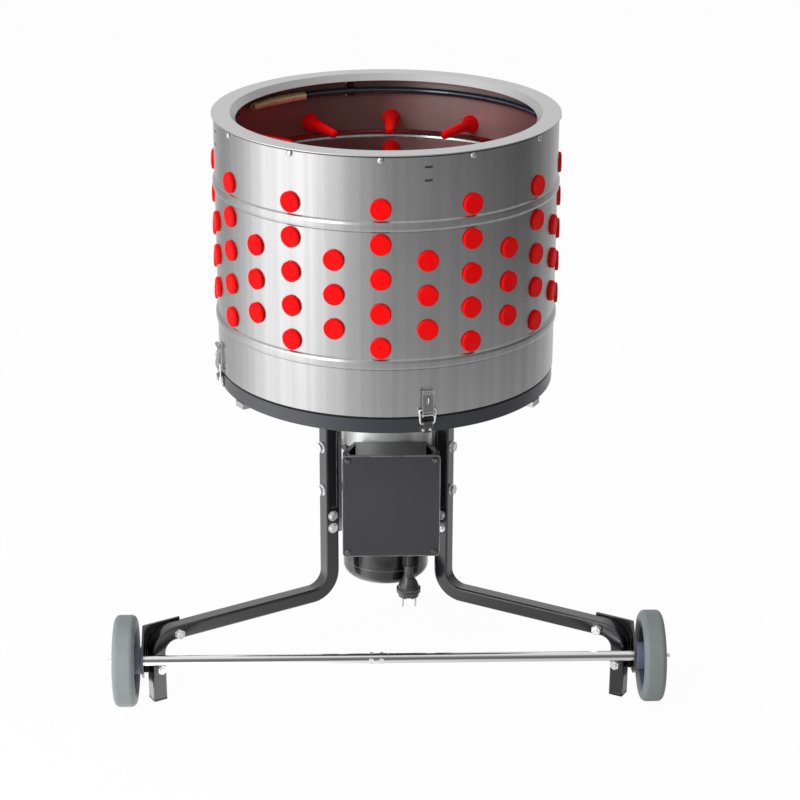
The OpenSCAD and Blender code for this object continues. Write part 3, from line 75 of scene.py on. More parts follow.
@dataclass(frozen=True)
class Noise:
    """A noise and its part in a finish.

    It has a scale in cells per metre and a number of octaves. The tone takes a share of it, ramped
    between its limits, and the roughness swings with it.
    """

    scale: float
    detail: float = 2.0
    limits: tuple[float, float] = (0.0, 1.0)
    share: float = 1.0
    rough: float = 0.0


@dataclass(frozen=True)
class Signal:
    """An output socket that takes part in arithmetic."""

    shader: "Shader"
    socket: Any

    def _with(self, operation: Maths, other: Any, reverse: bool = False) -> "Signal":
        """Adds one Math node.

        Args:
            operation: What the node does.
            other: A number or another signal.
            reverse: Whether the other value comes first.

        Returns:
            The node's result.
        """
        values = [other, self] if reverse else [self, other]
        return self.shader.maths(operation, *values)

    def __add__(self, other: Any) -> "Signal":
        """Returns the sum."""
        return self._with(Maths.ADD, other)

    def __radd__(self, other: Any) -> "Signal":
        """Returns the sum, with the other value first."""
        return self._with(Maths.ADD, other, True)

    def __sub__(self, other: Any) -> "Signal":
        """Returns the difference."""
        return self._with(Maths.SUBTRACT, other)

    def __rsub__(self, other: Any) -> "Signal":
        """Returns the difference from the other value."""
        return self._with(Maths.SUBTRACT, other, True)

    def __mul__(self, other: Any) -> "Signal":
        """Returns the product."""
        return self._with(Maths.MULTIPLY, other)

    def __rmul__(self, other: Any) -> "Signal":
        """Returns the product, with the other value first."""
        return self._with(Maths.MULTIPLY, other, True)

    def __truediv__(self, other: Any) -> "Signal":
        """Returns the quotient."""
        return self._with(Maths.DIVIDE, other)

    def __rtruediv__(self, other: Any) -> "Signal":
        """Returns the other value over this one."""
        return self._with(Maths.DIVIDE, other, True)

    def ramp(self, low: float, high: float) -> "Signal":
        """Maps low to 0 and high to 1, and holds the ends.

        Args:
            low: The value that becomes 0.
            high: The value that becomes 1.

        Returns:
            The mapped signal.
        """
        return self.shader.signal("ShaderNodeMapRange", {"clamp": True},
                                  {"Value": self, "From Min": low, "From Max": high})

    def swing(self, amount: float) -> "Signal":
        """Returns a signal of 0 to 1 about its middle, times amount."""
        return (self - 0.5) * amount


class Shader:
    """The node tree of one material or world."""

    def __init__(self, owner: Any) -> None:
        """Clears the owner's tree.

        Args:
            owner: The material or world.
        """
        owner.use_nodes = True
        self.tree = owner.node_tree
        self.tree.nodes.clear()

    def node(self, kind: str, settings: dict[str, Any] | None = None,
             values: dict[Any, Any] | None = None) -> Any:
        """Makes any node.

        Args:
            kind: The node's type.
            settings: Properties, set first. "stops" holds a colour ramp's stops.
            values: Numbers, colours, signals or sockets by input name or index.

        Returns:
            The node.
        """
        node = self.tree.nodes.new(kind)
        for name, value in (settings or {}).items():
            if name == "stops":
                self._set_stops(node, value)
            else:
                setattr(node, name, value)
        for name, value in (values or {}).items():
            self._feed(node.inputs[name], value)
        return node

    @staticmethod
    def _set_stops(node: Any, stops: list[tuple[float, Colour]]) -> None:
        """Sets a colour ramp's stops.

        Args:
            node: The ramp.
            stops: Positions and colours, in order.
        """
        elements = node.color_ramp.elements
        while len(elements) < len(stops):
            elements.new(0.5)
        for element, (position, colour) in zip(elements, stops):
            element.position = position
            element.color = (*colour, 1.0)

    def _feed(self, target: Any, value: Any) -> None:
        """Links a signal or socket to an input, or sets its value.

        Args:
            target: The input socket.
            value: What it gets.
        """
        if isinstance(value, Signal):
            self.tree.links.new(value.socket, target)
        elif isinstance(value, bpy.types.NodeSocket):
            self.tree.links.new(value, target)
        elif isinstance(value, tuple) and target.type == "RGBA":
            target.default_value = (*value[:3], 1.0)
        else:
            target.default_value = value

    def signal(self, kind: str, settings: dict[str, Any] | None = None, values: dict[Any, Any] | None = None,
               out: Any = 0) -> Signal:
        """Makes a node and returns one of its outputs as a signal.

        Args:
            kind: The node's type.
            settings: As for node.
            values: As for node.
            out: The output's name or index.

        Returns:
            The output.
        """
        return Signal(self, self.node(kind, settings, values).outputs[out])

    def maths(self, operation: Maths, *terms: Any) -> Signal:
        """Adds a Math node on numbers and signals, and returns its result."""
        return self.signal("ShaderNodeMath", {"operation": operation.value}, dict(enumerate(terms)))

    def stretched(self, scale: Point) -> Signal:
        """Returns the place on the object, with each axis multiplied by scale."""
        place = self.signal("ShaderNodeTexCoord", out="Object")
        return self.signal("ShaderNodeVectorMath", {"operation": "MULTIPLY"}, {0: place, 1: scale})

    def noise(self, kind: Noise, stretch: Point = (1.0, 1.0, 1.0)) -> Signal:
        """Returns noise over the object.

        Args:
            kind: Its scale and octaves.
            stretch: Factor on each axis.

        Returns:
            The noise, from 0 to 1.
        """
        return self.signal("ShaderNodeTexNoise", None,
                           {"Vector": self.stretched(stretch), "Scale": kind.scale, "Detail": kind.detail})

    def noise_along(self, vector: Signal, detail: float) -> Signal:
        """Returns noise with one cell to each unit of a vector.

        Args:
            vector: Where the noise is read.
            detail: Octaves.

        Returns:
            The noise, from 0 to 1.
        """
        return self.signal("ShaderNodeTexNoise", None, {"Vector": vector, "Scale": 1.0, "Detail": detail})

    def round_axis(self, along: float, up: float) -> Signal:
        """Returns the place round the drum's axis, as a vector of angle and height.

        Args:
            along: Factor on the angle in radians.
            up: Factor on the height.

        Returns:
            The vector.
        """
        x, y, z = self.axes()
        angle = self.maths(Maths.ARCTAN2, y - AXIS_Y, x)
        return self.signal("ShaderNodeCombineXYZ", None, {0: angle * along, 1: 0.0, 2: z * up})

    def axes(self) -> tuple[Signal, Signal, Signal]:
        """Splits the place on the object.

        Returns:
            Its X, Y and Z.
        """
        place = self.signal("ShaderNodeTexCoord", out="Object")
        split = self.node("ShaderNodeSeparateXYZ", None, {0: place})
        return Signal(self, split.outputs[0]), Signal(self, split.outputs[1]), Signal(self, split.outputs[2])

    def out_from_axis(self) -> Signal:
        """Returns the distance from the drum's axis."""
        x, y, _ = self.axes()
        return self.maths(Maths.SQRT, x * x + (y - AXIS_Y) * (y - AXIS_Y))

    def blend(self, factor: Any, first: Any, second: Any) -> Signal:
        """Mixes two colours.

        Args:
            factor: 0 gives the first, 1 the second.
            first: A colour or signal.
            second: A colour or signal.

        Returns:
            The mixed colour.
        """
        colour_inputs, colour_output = (6, 7), 2
        values = {0: factor, colour_inputs[0]: first, colour_inputs[1]: second}
        return self.signal("ShaderNodeMix", {"data_type": "RGBA"}, values, colour_output)

    def bump(self, height: Signal, depth: float, strength: float = 1.0) -> Signal:
        """Returns a normal from a height signal.

        Args:
            height: The relief, from 0 to 1.
            depth: Its depth in metres.
            strength: How much of it shows.

        Returns:
            The normal.
        """
        return self.signal("ShaderNodeBump", None,
                           {"Height": height, "Distance": depth, "Strength": strength})

    def edges(self, width: float) -> Signal:
        """Returns a mask of the sharp edges.

        Args:
            width: How far the mask reaches from an edge, in metres.

        Returns:
            The mask, 0 on flat faces.
        """
        rounded = self.signal("ShaderNodeBevel", {"samples": 4}, {"Radius": width})
        plain = self.signal("ShaderNodeNewGeometry", out="Normal")
        alike = self.signal("ShaderNodeVectorMath", {"operation": "DOT_PRODUCT"},
                            {0: rounded, 1: plain}, "Value")
        return 1 - alike

    def surface(self, values: dict[str, Any]) -> None:
        """Ends a material in one Principled shader.

        Args:
            values: The shader's inputs.
        """
        shader = self.node("ShaderNodeBsdfPrincipled", None, values)
        self.node("ShaderNodeOutputMaterial", None, {"Surface": shader.outputs[0]})


@dataclass(frozen=True)
class Finish:
    """A finish: what a surface is made of and how it is worked."""

    name: str
    colour: Colour

    def material(self) -> bpy.types.Material:
        """Makes the finish's material once.

        Returns:
            The material.
        """
        title = f"{self.name}_finish"
        known = bpy.data.materials.get(title)
        if known:
            return known
        made = bpy.data.materials.new(title)
        self.shade(Shader(made))
        return made

    def shade(self, shader: Shader) -> None:
        """Builds the nodes.

        Args:
            shader: The material's tree.
        """
        raise NotImplementedError


@dataclass(frozen=True)
class SheetSteel(Finish):
    """Stainless sheet or turned steel with fine marks and, on the drum, faint rolled bands."""

    roughness: float = 0.34
    cloud: Noise = Noise(9.0, 3.0, limits=(0.3, 0.7), share=0.5, rough=0.08)
    tones: tuple[float, float] = (0.92, 1.06)
    # The marks' cells: round the drum, per radian and per metre up, or else per metre
    grain: Grain = Grain.ROUND_THE_DRUM
    marks_round: float = 6.0
    marks_up: float = 900.0
    marks_out: float = 1500.0
    marks_all: float = 500.0
    mark_detail: float = 3.0
    mark_share: float = 0.1
    mark_rough: float = 0.05
    mark_depth: float = 0.000004
    mark_strength: float = 0.2
    # The rolled bands, with their cells per radian
    bands: float = 0.0
    bands_round: float = 17.0
    band_detail: float = 1.0
    band_limits: tuple[float, float] = (0.44, 0.56)
    band_tone: float = 0.72
    band_rough: float = 0.1
    # The inside of the wall, coloured with a painted reflection of the red fingers
    inner: Colour | None = None
    inner_radius: float = 0.0
    inner_fade: float = 0.0001
    inner_metal: float = 0.6
    inner_rough: float = 0.05
    # The clearer grey stretch of the inside, also a painted reflection, and where along X it comes and goes
    clear: Colour = (0.57, 0.46, 0.45)
    grey_reflection_from: tuple[float, float] = (0.0, 0.07)
    grey_reflection_to: tuple[float, float] = (0.17, 0.24)
    # The painted shadow line under the rim, and the height at which it begins
    rim_shadow_colour: Colour = (0.04, 0.04, 0.04)
    rim_shadow_above: float = 0.0
    rim_shadow_fade: float = 0.0004
    rim_shadow_share: float = 0.9

    def shade(self, shader: Shader) -> None:
        """Builds the nodes.

        Args:
            shader: The material's tree.
        """
        marks = self._marks(shader)
        cloud = shader.noise(self.cloud)
        dark, light = (self._scaled(tone) for tone in self.tones)
        uneven = cloud.ramp(*self.cloud.limits) * self.cloud.share + marks * self.mark_share
        tone = shader.blend(uneven, dark, light)
        rough = self.roughness + cloud.swing(self.cloud.rough) + marks.swing(self.mark_rough)
        metal: Any = 1.0
        if self.bands:
            tone, rough = self._banded(shader, tone, rough)
        if self.inner:
            tone, rough, metal = self._lined(shader, tone, rough)
        shader.surface({"Metallic": metal, "Base Color": tone, "Roughness": rough,
                        "Normal": shader.bump(marks, self.mark_depth, self.mark_strength)})

    def _banded(self, shader: Shader, tone: Signal, rough: Signal) -> tuple[Signal, Signal]:
        """Adds the faint upright bands that rolling leaves.

        Args:
            shader: The material's tree.
            tone: The colour so far.
            rough: The roughness so far.

        Returns:
            The new colour and roughness.
        """
        facets = shader.noise_along(shader.round_axis(self.bands_round, 0.0), self.band_detail)
        banded = facets.ramp(*self.band_limits) * self.bands
        tone = shader.blend(banded, tone, self._scaled(self.band_tone))
        return tone, rough + facets.swing(self.band_rough)

    def _lined(self, shader: Shader, tone: Signal, rough: Signal) -> tuple[Signal, Signal, Signal]:
        """Adds the reddish inside, a painted reflection of the fingers, and the painted shadow line under
        the rim.

        Args:
            shader: The material's tree.
            tone: The colour so far.
            rough: The roughness so far.

        Returns:
            The new colour, roughness and metal share.
        """
        x, _, z = shader.axes()
        out = shader.out_from_axis()
        outside = out.ramp(self.inner_radius - self.inner_fade, self.inner_radius + self.inner_fade)
        # A painted shadow line under the rim
        line = z.ramp(self.rim_shadow_above, self.rim_shadow_above + self.rim_shadow_fade) * self.rim_shadow_share
        # A painted reflection on the inside: red fingers, with a clearer grey stretch along X
        clear = x.ramp(*self.grey_reflection_from) * (1 - x.ramp(*self.grey_reflection_to))
        inside = shader.blend(clear, self.inner, self.clear)
        tone = shader.blend(outside, inside, shader.blend(line, tone, self.rim_shadow_colour))
        rough = rough + (1 - outside) * self.inner_rough
        return tone, rough, self.inner_metal + outside * (1 - self.inner_metal)

    def _marks(self, shader: Shader) -> Signal:
        """Makes the fine marks of the chosen grain.

        Args:
            shader: The material's tree.

        Returns:
            The marks, from 0 to 1.
        """
        if self.grain is Grain.ROUND_THE_DRUM:
            return shader.noise_along(shader.round_axis(self.marks_round, self.marks_up), self.mark_detail)
        if self.grain is Grain.TURNED:
            out = shader.out_from_axis() * self.marks_out
            vector = shader.signal("ShaderNodeCombineXYZ", None, {0: out})
            return shader.noise_along(vector, self.mark_detail)
        return shader.noise(Noise(self.marks_all, self.mark_detail))

    def _scaled(self, factor: float) -> Colour:
        """Returns the colour times a factor."""
        return tuple(min(1.0, c * factor) for c in self.colour)


@dataclass(frozen=True)
class Coat(Finish):
    """Paint or powder coat, with its fine orange peel, dust tone and lighter edges, part rubbed and part
    painted highlight.
    """

    roughness: float = 0.42
    coat: float = 0.0
    coat_roughness: float = 0.15
    cloud: Noise = Noise(14.0, 4.0, limits=(0.3, 0.75), share=0.35, rough=0.12)
    dust: float = 1.35
    skin: Noise = Noise(700.0, rough=0.06)
    peel: float = 0.00006
    peel_strength: float = 0.6
    # Lighter edges in patches: part rubbed, part painted highlight
    edge: Colour = (0.2, 0.2, 0.21)
    edge_share: float = 0.5
    edge_width: float = 0.0006
    edge_limits: tuple[float, float] = (0.02, 0.25)
    wear_and_highlight_patches: Noise = Noise(60.0, 3.0, limits=(0.2, 0.6))

    def shade(self, shader: Shader) -> None:
        """Builds the nodes.

        Args:
            shader: The material's tree.
        """
        skin = shader.noise(self.skin)
        cloud = shader.noise(self.cloud)
        patchy = shader.noise(self.wear_and_highlight_patches).ramp(*self.wear_and_highlight_patches.limits)
        # Lighter edges: part rubbed, part painted highlight
        edge_wear_and_highlight = shader.edges(self.edge_width).ramp(*self.edge_limits) * patchy * self.edge_share
        dusty = tuple(c * self.dust for c in self.colour)
        tone = shader.blend(cloud.ramp(*self.cloud.limits) * self.cloud.share, self.colour, dusty)
        tone = shader.blend(edge_wear_and_highlight, tone, self.edge)
        rough = self.roughness + cloud.swing(self.cloud.rough) + skin.swing(self.skin.rough)
        shader.surface({"Base Color": tone, "Roughness": rough,
                        "Normal": shader.bump(skin, self.peel, self.peel_strength),
                        "Coat Weight": self.coat, "Coat Roughness": self.coat_roughness})


@dataclass(frozen=True)
class Rubber(Finish):
    """Moulded rubber with a soft sheen, a faint bloom and fine pits."""

    roughness: float = 0.5
    gloss: float = 0.07
    bloom: Colour = (0.9, 0.03, 0.025)
    bloom_share: float = 0.2
    cloud: Noise = Noise(45.0, 3.0, limits=(0.4, 0.8), rough=0.15)
    pits: Noise = Noise(1400.0, share=0.5)
    relief_depth: float = 0.0001
    relief_strength: float = 0.5

    def shade(self, shader: Shader) -> None:
        """Builds the nodes.

        Args:
            shader: The material's tree.
        """
        cloud = shader.noise(self.cloud)
        pits = shader.noise(self.pits)
        tone = shader.blend(cloud.ramp(*self.cloud.limits) * self.bloom_share, self.colour, self.bloom)
        rough = self.roughness + cloud.swing(self.cloud.rough)
        relief = pits * self.pits.share + cloud * (1 - self.pits.share)
        shader.surface({"Base Color": tone, "Roughness": rough, "Specular IOR Level": self.gloss,
                        "Normal": shader.bump(relief, self.relief_depth, self.relief_strength)})


@dataclass(frozen=True)
class Plastic(Finish):
    """Moulded plastic with a fine spark texture."""

    roughness: float = 0.45
    cloud: Noise = Noise(25.0, share=0.4)
    light: float = 1.25
    spark: Noise = Noise(1800.0, rough=0.1)
    spark_depth: float = 0.00005
    spark_strength: float = 0.6

    def shade(self, shader: Shader) -> None:
        """Builds the nodes.

        Args:
            shader: The material's tree.
        """
        spark = shader.noise(self.spark)
        cloud = shader.noise(self.cloud)
        light = tuple(c * self.light for c in self.colour)
        tone = shader.blend(cloud * self.cloud.share, self.colour, light)
        rough = self.roughness + spark.swing(self.spark.rough)
        shader.surface({"Base Color": tone, "Roughness": rough,
                        "Normal": shader.bump(spark, self.spark_depth, self.spark_strength)})


@dataclass(frozen=True)
class Plated(Finish):
    """Bright plated or polished metal with faint smears."""

    roughness: float = 0.16
    metal: float = 1.0
    smears: Noise = Noise(55.0, 4.0, limits=(0.4, 0.7), share=0.5)
    stretch: Point = (1.0, 1.0, 0.4)
    dull: float = 0.82
    # How much rougher the smears are, and the limits of that
    smear: float = 0.12
    smear_limits: tuple[float, float] = (0.45, 0.75)
    fine: Noise = Noise(900.0)
    fine_depth: float = 0.00003
    fine_strength: float = 0.3
    # Lighter edges: a painted highlight
    edge: Colour = (0.95, 0.95, 0.95)
    edge_width: float = 0.0
    edge_limits: tuple[float, float] = (0.02, 0.2)
    # A painted dark reflection on faces that look sideways to upwards: the slopes where it comes and goes
    dark_reflection: float = 0.0
    dark_reflection_colour: Colour = (0.2, 0.2, 0.2)
    dark_reflection_from: tuple[float, float] = (-0.05, 0.08)
    dark_reflection_to: tuple[float, float] = (0.55, 0.75)

    def shade(self, shader: Shader) -> None:
        """Builds the nodes.

        Args:
            shader: The material's tree.
        """
        smears = shader.noise(self.smears, self.stretch)
        fine = shader.noise(self.fine)
        dull = tuple(c * self.dull for c in self.colour)
        tone = shader.blend(smears.ramp(*self.smears.limits) * self.smears.share, self.colour, dull)
        # A painted highlight along the edges
        if self.edge_width:
            tone = shader.blend(shader.edges(self.edge_width).ramp(*self.edge_limits), tone, self.edge)
        # A painted dark reflection on faces that look sideways to upwards
        if self.dark_reflection:
            facing = shader.signal("ShaderNodeNewGeometry", out="Normal")
            split = shader.node("ShaderNodeSeparateXYZ", None, {0: facing})
            slope = Signal(shader, split.outputs[2])
            dark_reflection_band = slope.ramp(*self.dark_reflection_from) * (1 - slope.ramp(*self.dark_reflection_to))
            tone = shader.blend(dark_reflection_band * self.dark_reflection, tone, self.dark_reflection_colour)
        rough = self.roughness + smears.ramp(*self.smear_limits) * self.smear
        shader.surface({"Base Color": tone, "Metallic": self.metal, "Roughness": rough,
                        "Normal": shader.bump(fine, self.fine_depth, self.fine_strength)})


@dataclass(frozen=True)
class CastMetal(Finish):
    """Cast light alloy or iron with a sandy skin."""

    roughness: float = 0.48
    metal: float = 0.55
    cloud: Noise = Noise(18.0, 3.0, limits=(0.3, 0.7))
    dull: float = 0.86
    sand: Noise = Noise(600.0, 4.0, rough=0.2)
    sand_depth: float = 0.00025
    sand_strength: float = 0.5

    def shade(self, shader: Shader) -> None:
        """Builds the nodes.

        Args:
            shader: The material's tree.
        """
        sand = shader.noise(self.sand)
        cloud = shader.noise(self.cloud)
        dull = tuple(c * self.dull for c in self.colour)
        tone = shader.blend(cloud.ramp(*self.cloud.limits), self.colour, dull)
        rough = self.roughness + sand.swing(self.sand.rough)
        shader.surface({"Base Color": tone, "Metallic": self.metal, "Roughness": rough,
                        "Normal": shader.bump(sand, self.sand_depth, self.sand_strength)})


@dataclass(frozen=True)
class Winding(Finish):
    """Varnished copper winding."""

    roughness: float = 0.35
    metal: float = 0.8
    wave_scale: float = 55.56
    waviness: float = 2.0
    wave_depth: float = 0.0004
    wave_strength: float = 0.6
    dark: float = 0.5

    def shade(self, shader: Shader) -> None:
        """Builds the nodes.

        Args:
            shader: The material's tree.
        """
        place = shader.signal("ShaderNodeTexCoord", out="Object")
        wave = shader.signal("ShaderNodeTexWave", {"bands_direction": "Z"},
                             {"Vector": place, "Scale": self.wave_scale, "Distortion": self.waviness}, "Fac")
        tone = shader.blend(wave, tuple(c * self.dark for c in self.colour), self.colour)
        shader.surface({"Base Color": tone, "Metallic": self.metal, "Roughness": self.roughness,
                        "Normal": shader.bump(wave, self.wave_depth, self.wave_strength)})


# The drum's inside colour is a painted reflection of the red fingers, with a painted shadow line under the
# rim
DRUM_STEEL = SheetSteel("drum_steel", (0.42, 0.422, 0.42), roughness=0.27, grain=Grain.ROUND_THE_DRUM,
                        bands=0.3, inner=(0.235, 0.185, 0.18), inner_radius=0.2491, rim_shadow_above=0.8436)
RIM_STEEL = SheetSteel("rim_steel", (0.56, 0.56, 0.56), roughness=0.38)
PLATE_STEEL = SheetSteel("plate_steel", (0.5, 0.5, 0.5), roughness=0.3, grain=Grain.TURNED,
                         mark_detail=2.0)
GEAR_STEEL = SheetSteel("gear_steel", (0.4, 0.4, 0.42), roughness=0.28, grain=Grain.ALL_WAYS)
CORE_STEEL = SheetSteel("core_steel", (0.3, 0.3, 0.32), roughness=0.4, grain=Grain.ROUND_THE_DRUM)
ZINC = SheetSteel("zinc_steel", (0.5, 0.5, 0.51), roughness=0.36, grain=Grain.ALL_WAYS)
CLIP_STEEL = SheetSteel("clip_steel", (0.09, 0.09, 0.09), roughness=0.4, grain=Grain.ALL_WAYS)
RED_RUBBER = Rubber("red_rubber", (0.96, 0.002, 0.003), roughness=0.5)
BLACK_RUBBER = Rubber("black_rubber", (0.012, 0.012, 0.013), roughness=0.55, bloom=(0.05, 0.05, 0.05))
# The coats' lighter edges are part rubbed and part painted highlight
HOSE_RUBBER = Coat("hose_skin", (0.012, 0.03, 0.05), roughness=0.16, peel=0.00003, edge=(0.05, 0.1, 0.15),
                   edge_share=0.2, coat=0.6)
CORD_SKIN = Coat("cord_skin", (0.022, 0.022, 0.022), roughness=0.28, peel=0.00003, edge=(0.4, 0.4, 0.4),
                 edge_share=0.9, coat=0.4, edge_width=0.0018)
BRASS = Plated("inlet_brass", (1.0, 0.84, 0.52), roughness=0.26, smear=0.1, metal=0.25)
BOLT_ZINC = Plated("bolt_zinc", (0.92, 0.92, 0.93), roughness=0.24, smear=0.12, metal=0.5)
BLACK_SCREW = Coat("black_screw", (0.006, 0.006, 0.006), roughness=0.25, peel=0.00003, edge=(0.5, 0.5, 0.5),
                   edge_share=0.9, coat=0.5, edge_width=0.0015)
RIM_SCREW = Plated("rim_screw_plating", (0.5, 0.5, 0.5), roughness=0.2, smear=0.1)
ALLOY = CastMetal("gearbox_alloy", (0.9, 0.9, 0.9))
FRAME_COAT = Coat("frame_coat", (0.008, 0.008, 0.01), roughness=0.2, peel=0.00002, edge=(0.3, 0.3, 0.31),
                  edge_share=0.8, coat=0.8, edge_width=0.0018)
PAN_COAT = Coat("pan_coat", (0.02, 0.021, 0.029), roughness=0.33, peel=0.00005, edge=(0.2, 0.2, 0.22),
                edge_share=0.5, coat=0.2)
MOTOR_COAT = Coat("motor_coat", (0.006, 0.006, 0.008), roughness=0.16, peel=0.00003, edge=(0.4, 0.4, 0.4),
                  edge_share=0.8, coat=0.6, edge_width=0.002)
BOX_COAT = Coat("box_coat", (0.06, 0.062, 0.063), roughness=0.24, peel=0.00004, edge=(0.6, 0.6, 0.6),
                edge_share=0.9, coat=0.5, edge_width=0.0015)
COVER_COAT = Coat("cover_coat", (0.034, 0.034, 0.042), roughness=0.45, peel=0.00004, edge=(0.6, 0.6, 0.62),
                  edge_share=0.9, coat=0.0, edge_width=0.003)
# The axle's dark stripe is a painted reflection
CHROME = Plated("axle_chrome", (0.92, 0.92, 0.93), roughness=0.13, smear=0.05, stretch=(0.05, 2.0, 2.0),
                dark_reflection=0.95)
LATCH_CHROME = Plated("latch_plating", (0.75, 0.75, 0.76), roughness=0.16, smear=0.1)
# The lever's light edges are a painted highlight
LEVER_CHROME = Plated("lever_plating", (0.36, 0.36, 0.36), roughness=0.2, smear=0.1, edge_width=0.003)
TYRE = Rubber("tyre_rubber", (0.235, 0.26, 0.265), roughness=0.55, bloom=(0.28, 0.3, 0.3), bloom_share=0.5,
              gloss=0.35)
WHEEL_PLASTIC = Plastic("wheel_plastic", (0.13, 0.16, 0.22), roughness=0.4)
BLACK_PLASTIC = Plastic("black_plastic", (0.014, 0.014, 0.015), roughness=0.38)
RED_PLASTIC = Plastic("rocker_plastic", (0.5, 0.012, 0.012), roughness=0.25, spark_depth=0.00002)
PALE_PLASTIC = Plastic("terminal_plastic", (0.68, 0.68, 0.62), roughness=0.4)
COPPER = Winding("stator_copper", (0.6, 0.27, 0.12))


def mesh_piece(name: str, body: str, finish: Finish, shape: bmesh.types.BMesh) -> bpy.types.Object:
    """Turns a bmesh into a dressed piece that rides on a body.

    Args:
        name: The piece's name.
        body: The body that carries it.
        finish: Its finish.
        shape: Its mesh, freed here.

    Returns:
        The piece.
    """
    mesh = bpy.data.meshes.new(name)
    shape.to_mesh(mesh)
    shape.free()
    for face in mesh.polygons:
        face.use_smooth = True
    mesh.materials.append(finish.material())
    piece = bpy.data.objects.new(name, mesh)
    bpy.context.collection.objects.link(piece)
    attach(piece, body)
    return piece


class Assembly:
    """A sub-assembly: nodes with their finishes, and the pieces that it adds to them."""

    def finishes(self) -> dict[str, Finish]:
        """Returns the finish of each node."""
        raise NotImplementedError

    def add_pieces(self) -> list[bpy.types.Object]:
        """Returns the pieces that it adds, if it has any."""
        return []

    def build(self) -> list[bpy.types.Object]:
        """Dresses the nodes, then makes what is added to them.

        Returns:
            All the pieces.
        """
        dressed = [self.dress(node, finish) for node, finish in self.finishes().items()]
        return dressed + self.add_pieces()

    @staticmethod
    def dress(node: str, finish: Finish) -> bpy.types.Object:
        """Gives a node its finish.

        Args:
            node: The node's name.
            finish: Its finish.

        Returns:
            The node's object.
        """
        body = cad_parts[node]
        material = finish.material()
        if not body.material_slots:
            body.data.materials.append(material)
        for slot in body.material_slots:
            slot.material = material
        return body


@dataclass
class PowerLead(Assembly):
    """The short lead that hangs from the control box, with its plug."""

    exit: Point = (0.033, -0.1395, 0.2)
    end_height: float = 0.157
    diameter: float = 0.007
    points: int = 16

    def finishes(self) -> dict[str, Finish]:
        """Returns the finish of each node."""
        return {"power_cord": CORD_SKIN, "plug_body": CORD_SKIN, "plug_pins": BOLT_ZINC,
                "cable_gland": BLACK_PLASTIC}

    def add_pieces(self) -> list[bpy.types.Object]:
        """Lays the lead as one straight curve.

        Returns:
            The lead.
        """
        line = bpy.data.curves.new("power_lead", "CURVE")
        line.dimensions = "3D"
        line.bevel_depth = self.diameter / 2
        line.bevel_resolution = 6
        line.use_fill_caps = True
        spline = line.splines.new("POLY")
        spline.points.add(self.points - 1)
        drop = self.exit[2] - self.end_height
        for index, point in enumerate(spline.points):
            point.co = (self.exit[0], self.exit[1], self.exit[2] - drop * index / (self.points - 1), 1.0)
        line.materials.append(CORD_SKIN.material())
        lead = bpy.data.objects.new("power_lead", line)
        bpy.context.collection.objects.link(lead)
        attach(lead, "frame")
        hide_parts("power_cord")
        return [lead]


class Drum(Assembly):
    """The steel drum with its rim, wall fingers and rinsing hose."""

    def finishes(self) -> dict[str, Finish]:
        """Returns the finish of each node."""
        return {"drum_shell": DRUM_STEEL, "rim_ring": RIM_STEEL, "rim_screws": RIM_SCREW,
                "drum_fingers": RED_RUBBER, "water_hose": HOSE_RUBBER, "hose_connector": BRASS,
                "hose_clips": CLIP_STEEL}


class Pan(Assembly):
    """The shallow pan that the drum stands on."""

    def finishes(self) -> dict[str, Finish]:
        """Returns the finish of each node."""
        return {"base_pan": PAN_COAT, "pan_seal": BLACK_RUBBER}


class FingerPlate(Assembly):
    """The spinning plate on the drum's floor."""

    def finishes(self) -> dict[str, Finish]:
        """Returns the finish of each node."""
        return {"feather_plate": PLATE_STEEL, "plate_fingers": RED_RUBBER, "plate_nut": BOLT_ZINC}


@dataclass
class Gearbox(Assembly):
    """The planetary gearbox under the pan."""

    planets: int = 3

    def finishes(self) -> dict[str, Finish]:
        """Returns the finish of each node."""
        planets = {f"planet_gear_{i + 1}": GEAR_STEEL for i in range(self.planets)}
        return {"gear_housing": ALLOY, "ring_gear": GEAR_STEEL, "output_carrier": GEAR_STEEL, **planets,
                "shaft_seal": BLACK_RUBBER, "ball_bearings": GEAR_STEEL}


class Motor(Assembly):
    """The motor with its fan."""

    def finishes(self) -> dict[str, Finish]:
        """Returns the finish of each node."""
        return {"motor_body": MOTOR_COAT, "fan_cover": MOTOR_COAT, "stator": COPPER,
                "rotor_core": CORE_STEEL, "rotor_shaft": GEAR_STEEL, "cooling_fan": BLACK_PLASTIC}


class ControlBox(Assembly):
    """The control box on the motor, with its switch."""

    def finishes(self) -> dict[str, Finish]:
        """Returns the finish of each node."""
        return {"box_body": BOX_COAT, "box_cover": COVER_COAT, "box_screws": BLACK_SCREW,
                "capacitor": ALLOY, "terminal_block": PALE_PLASTIC, "switch_body": BLACK_PLASTIC,
                "switch_rocker": RED_PLASTIC}


class Legs(Assembly):
    """The three legs, what bolts them to the pan, and the axle."""

    def finishes(self) -> dict[str, Finish]:
        """Returns the finish of each node."""
        return {"leg_front_left": FRAME_COAT, "leg_front_right": FRAME_COAT, "leg_rear": FRAME_COAT,
                "foot_plugs": BLACK_PLASTIC, "pan_brackets": ZINC, "frame_bolts": BOLT_ZINC,
                "wheel_brackets": FRAME_COAT, "axle_tubes": CHROME, "axle_spigot": CORE_STEEL}


class Wheels(Assembly):
    """The two wheels."""

    def finishes(self) -> dict[str, Finish]:
        """Returns the finish of each node."""
        return {"tyre_left": TYRE, "tyre_right": TYRE, "rim_left": WHEEL_PLASTIC, "rim_right": WHEEL_PLASTIC}


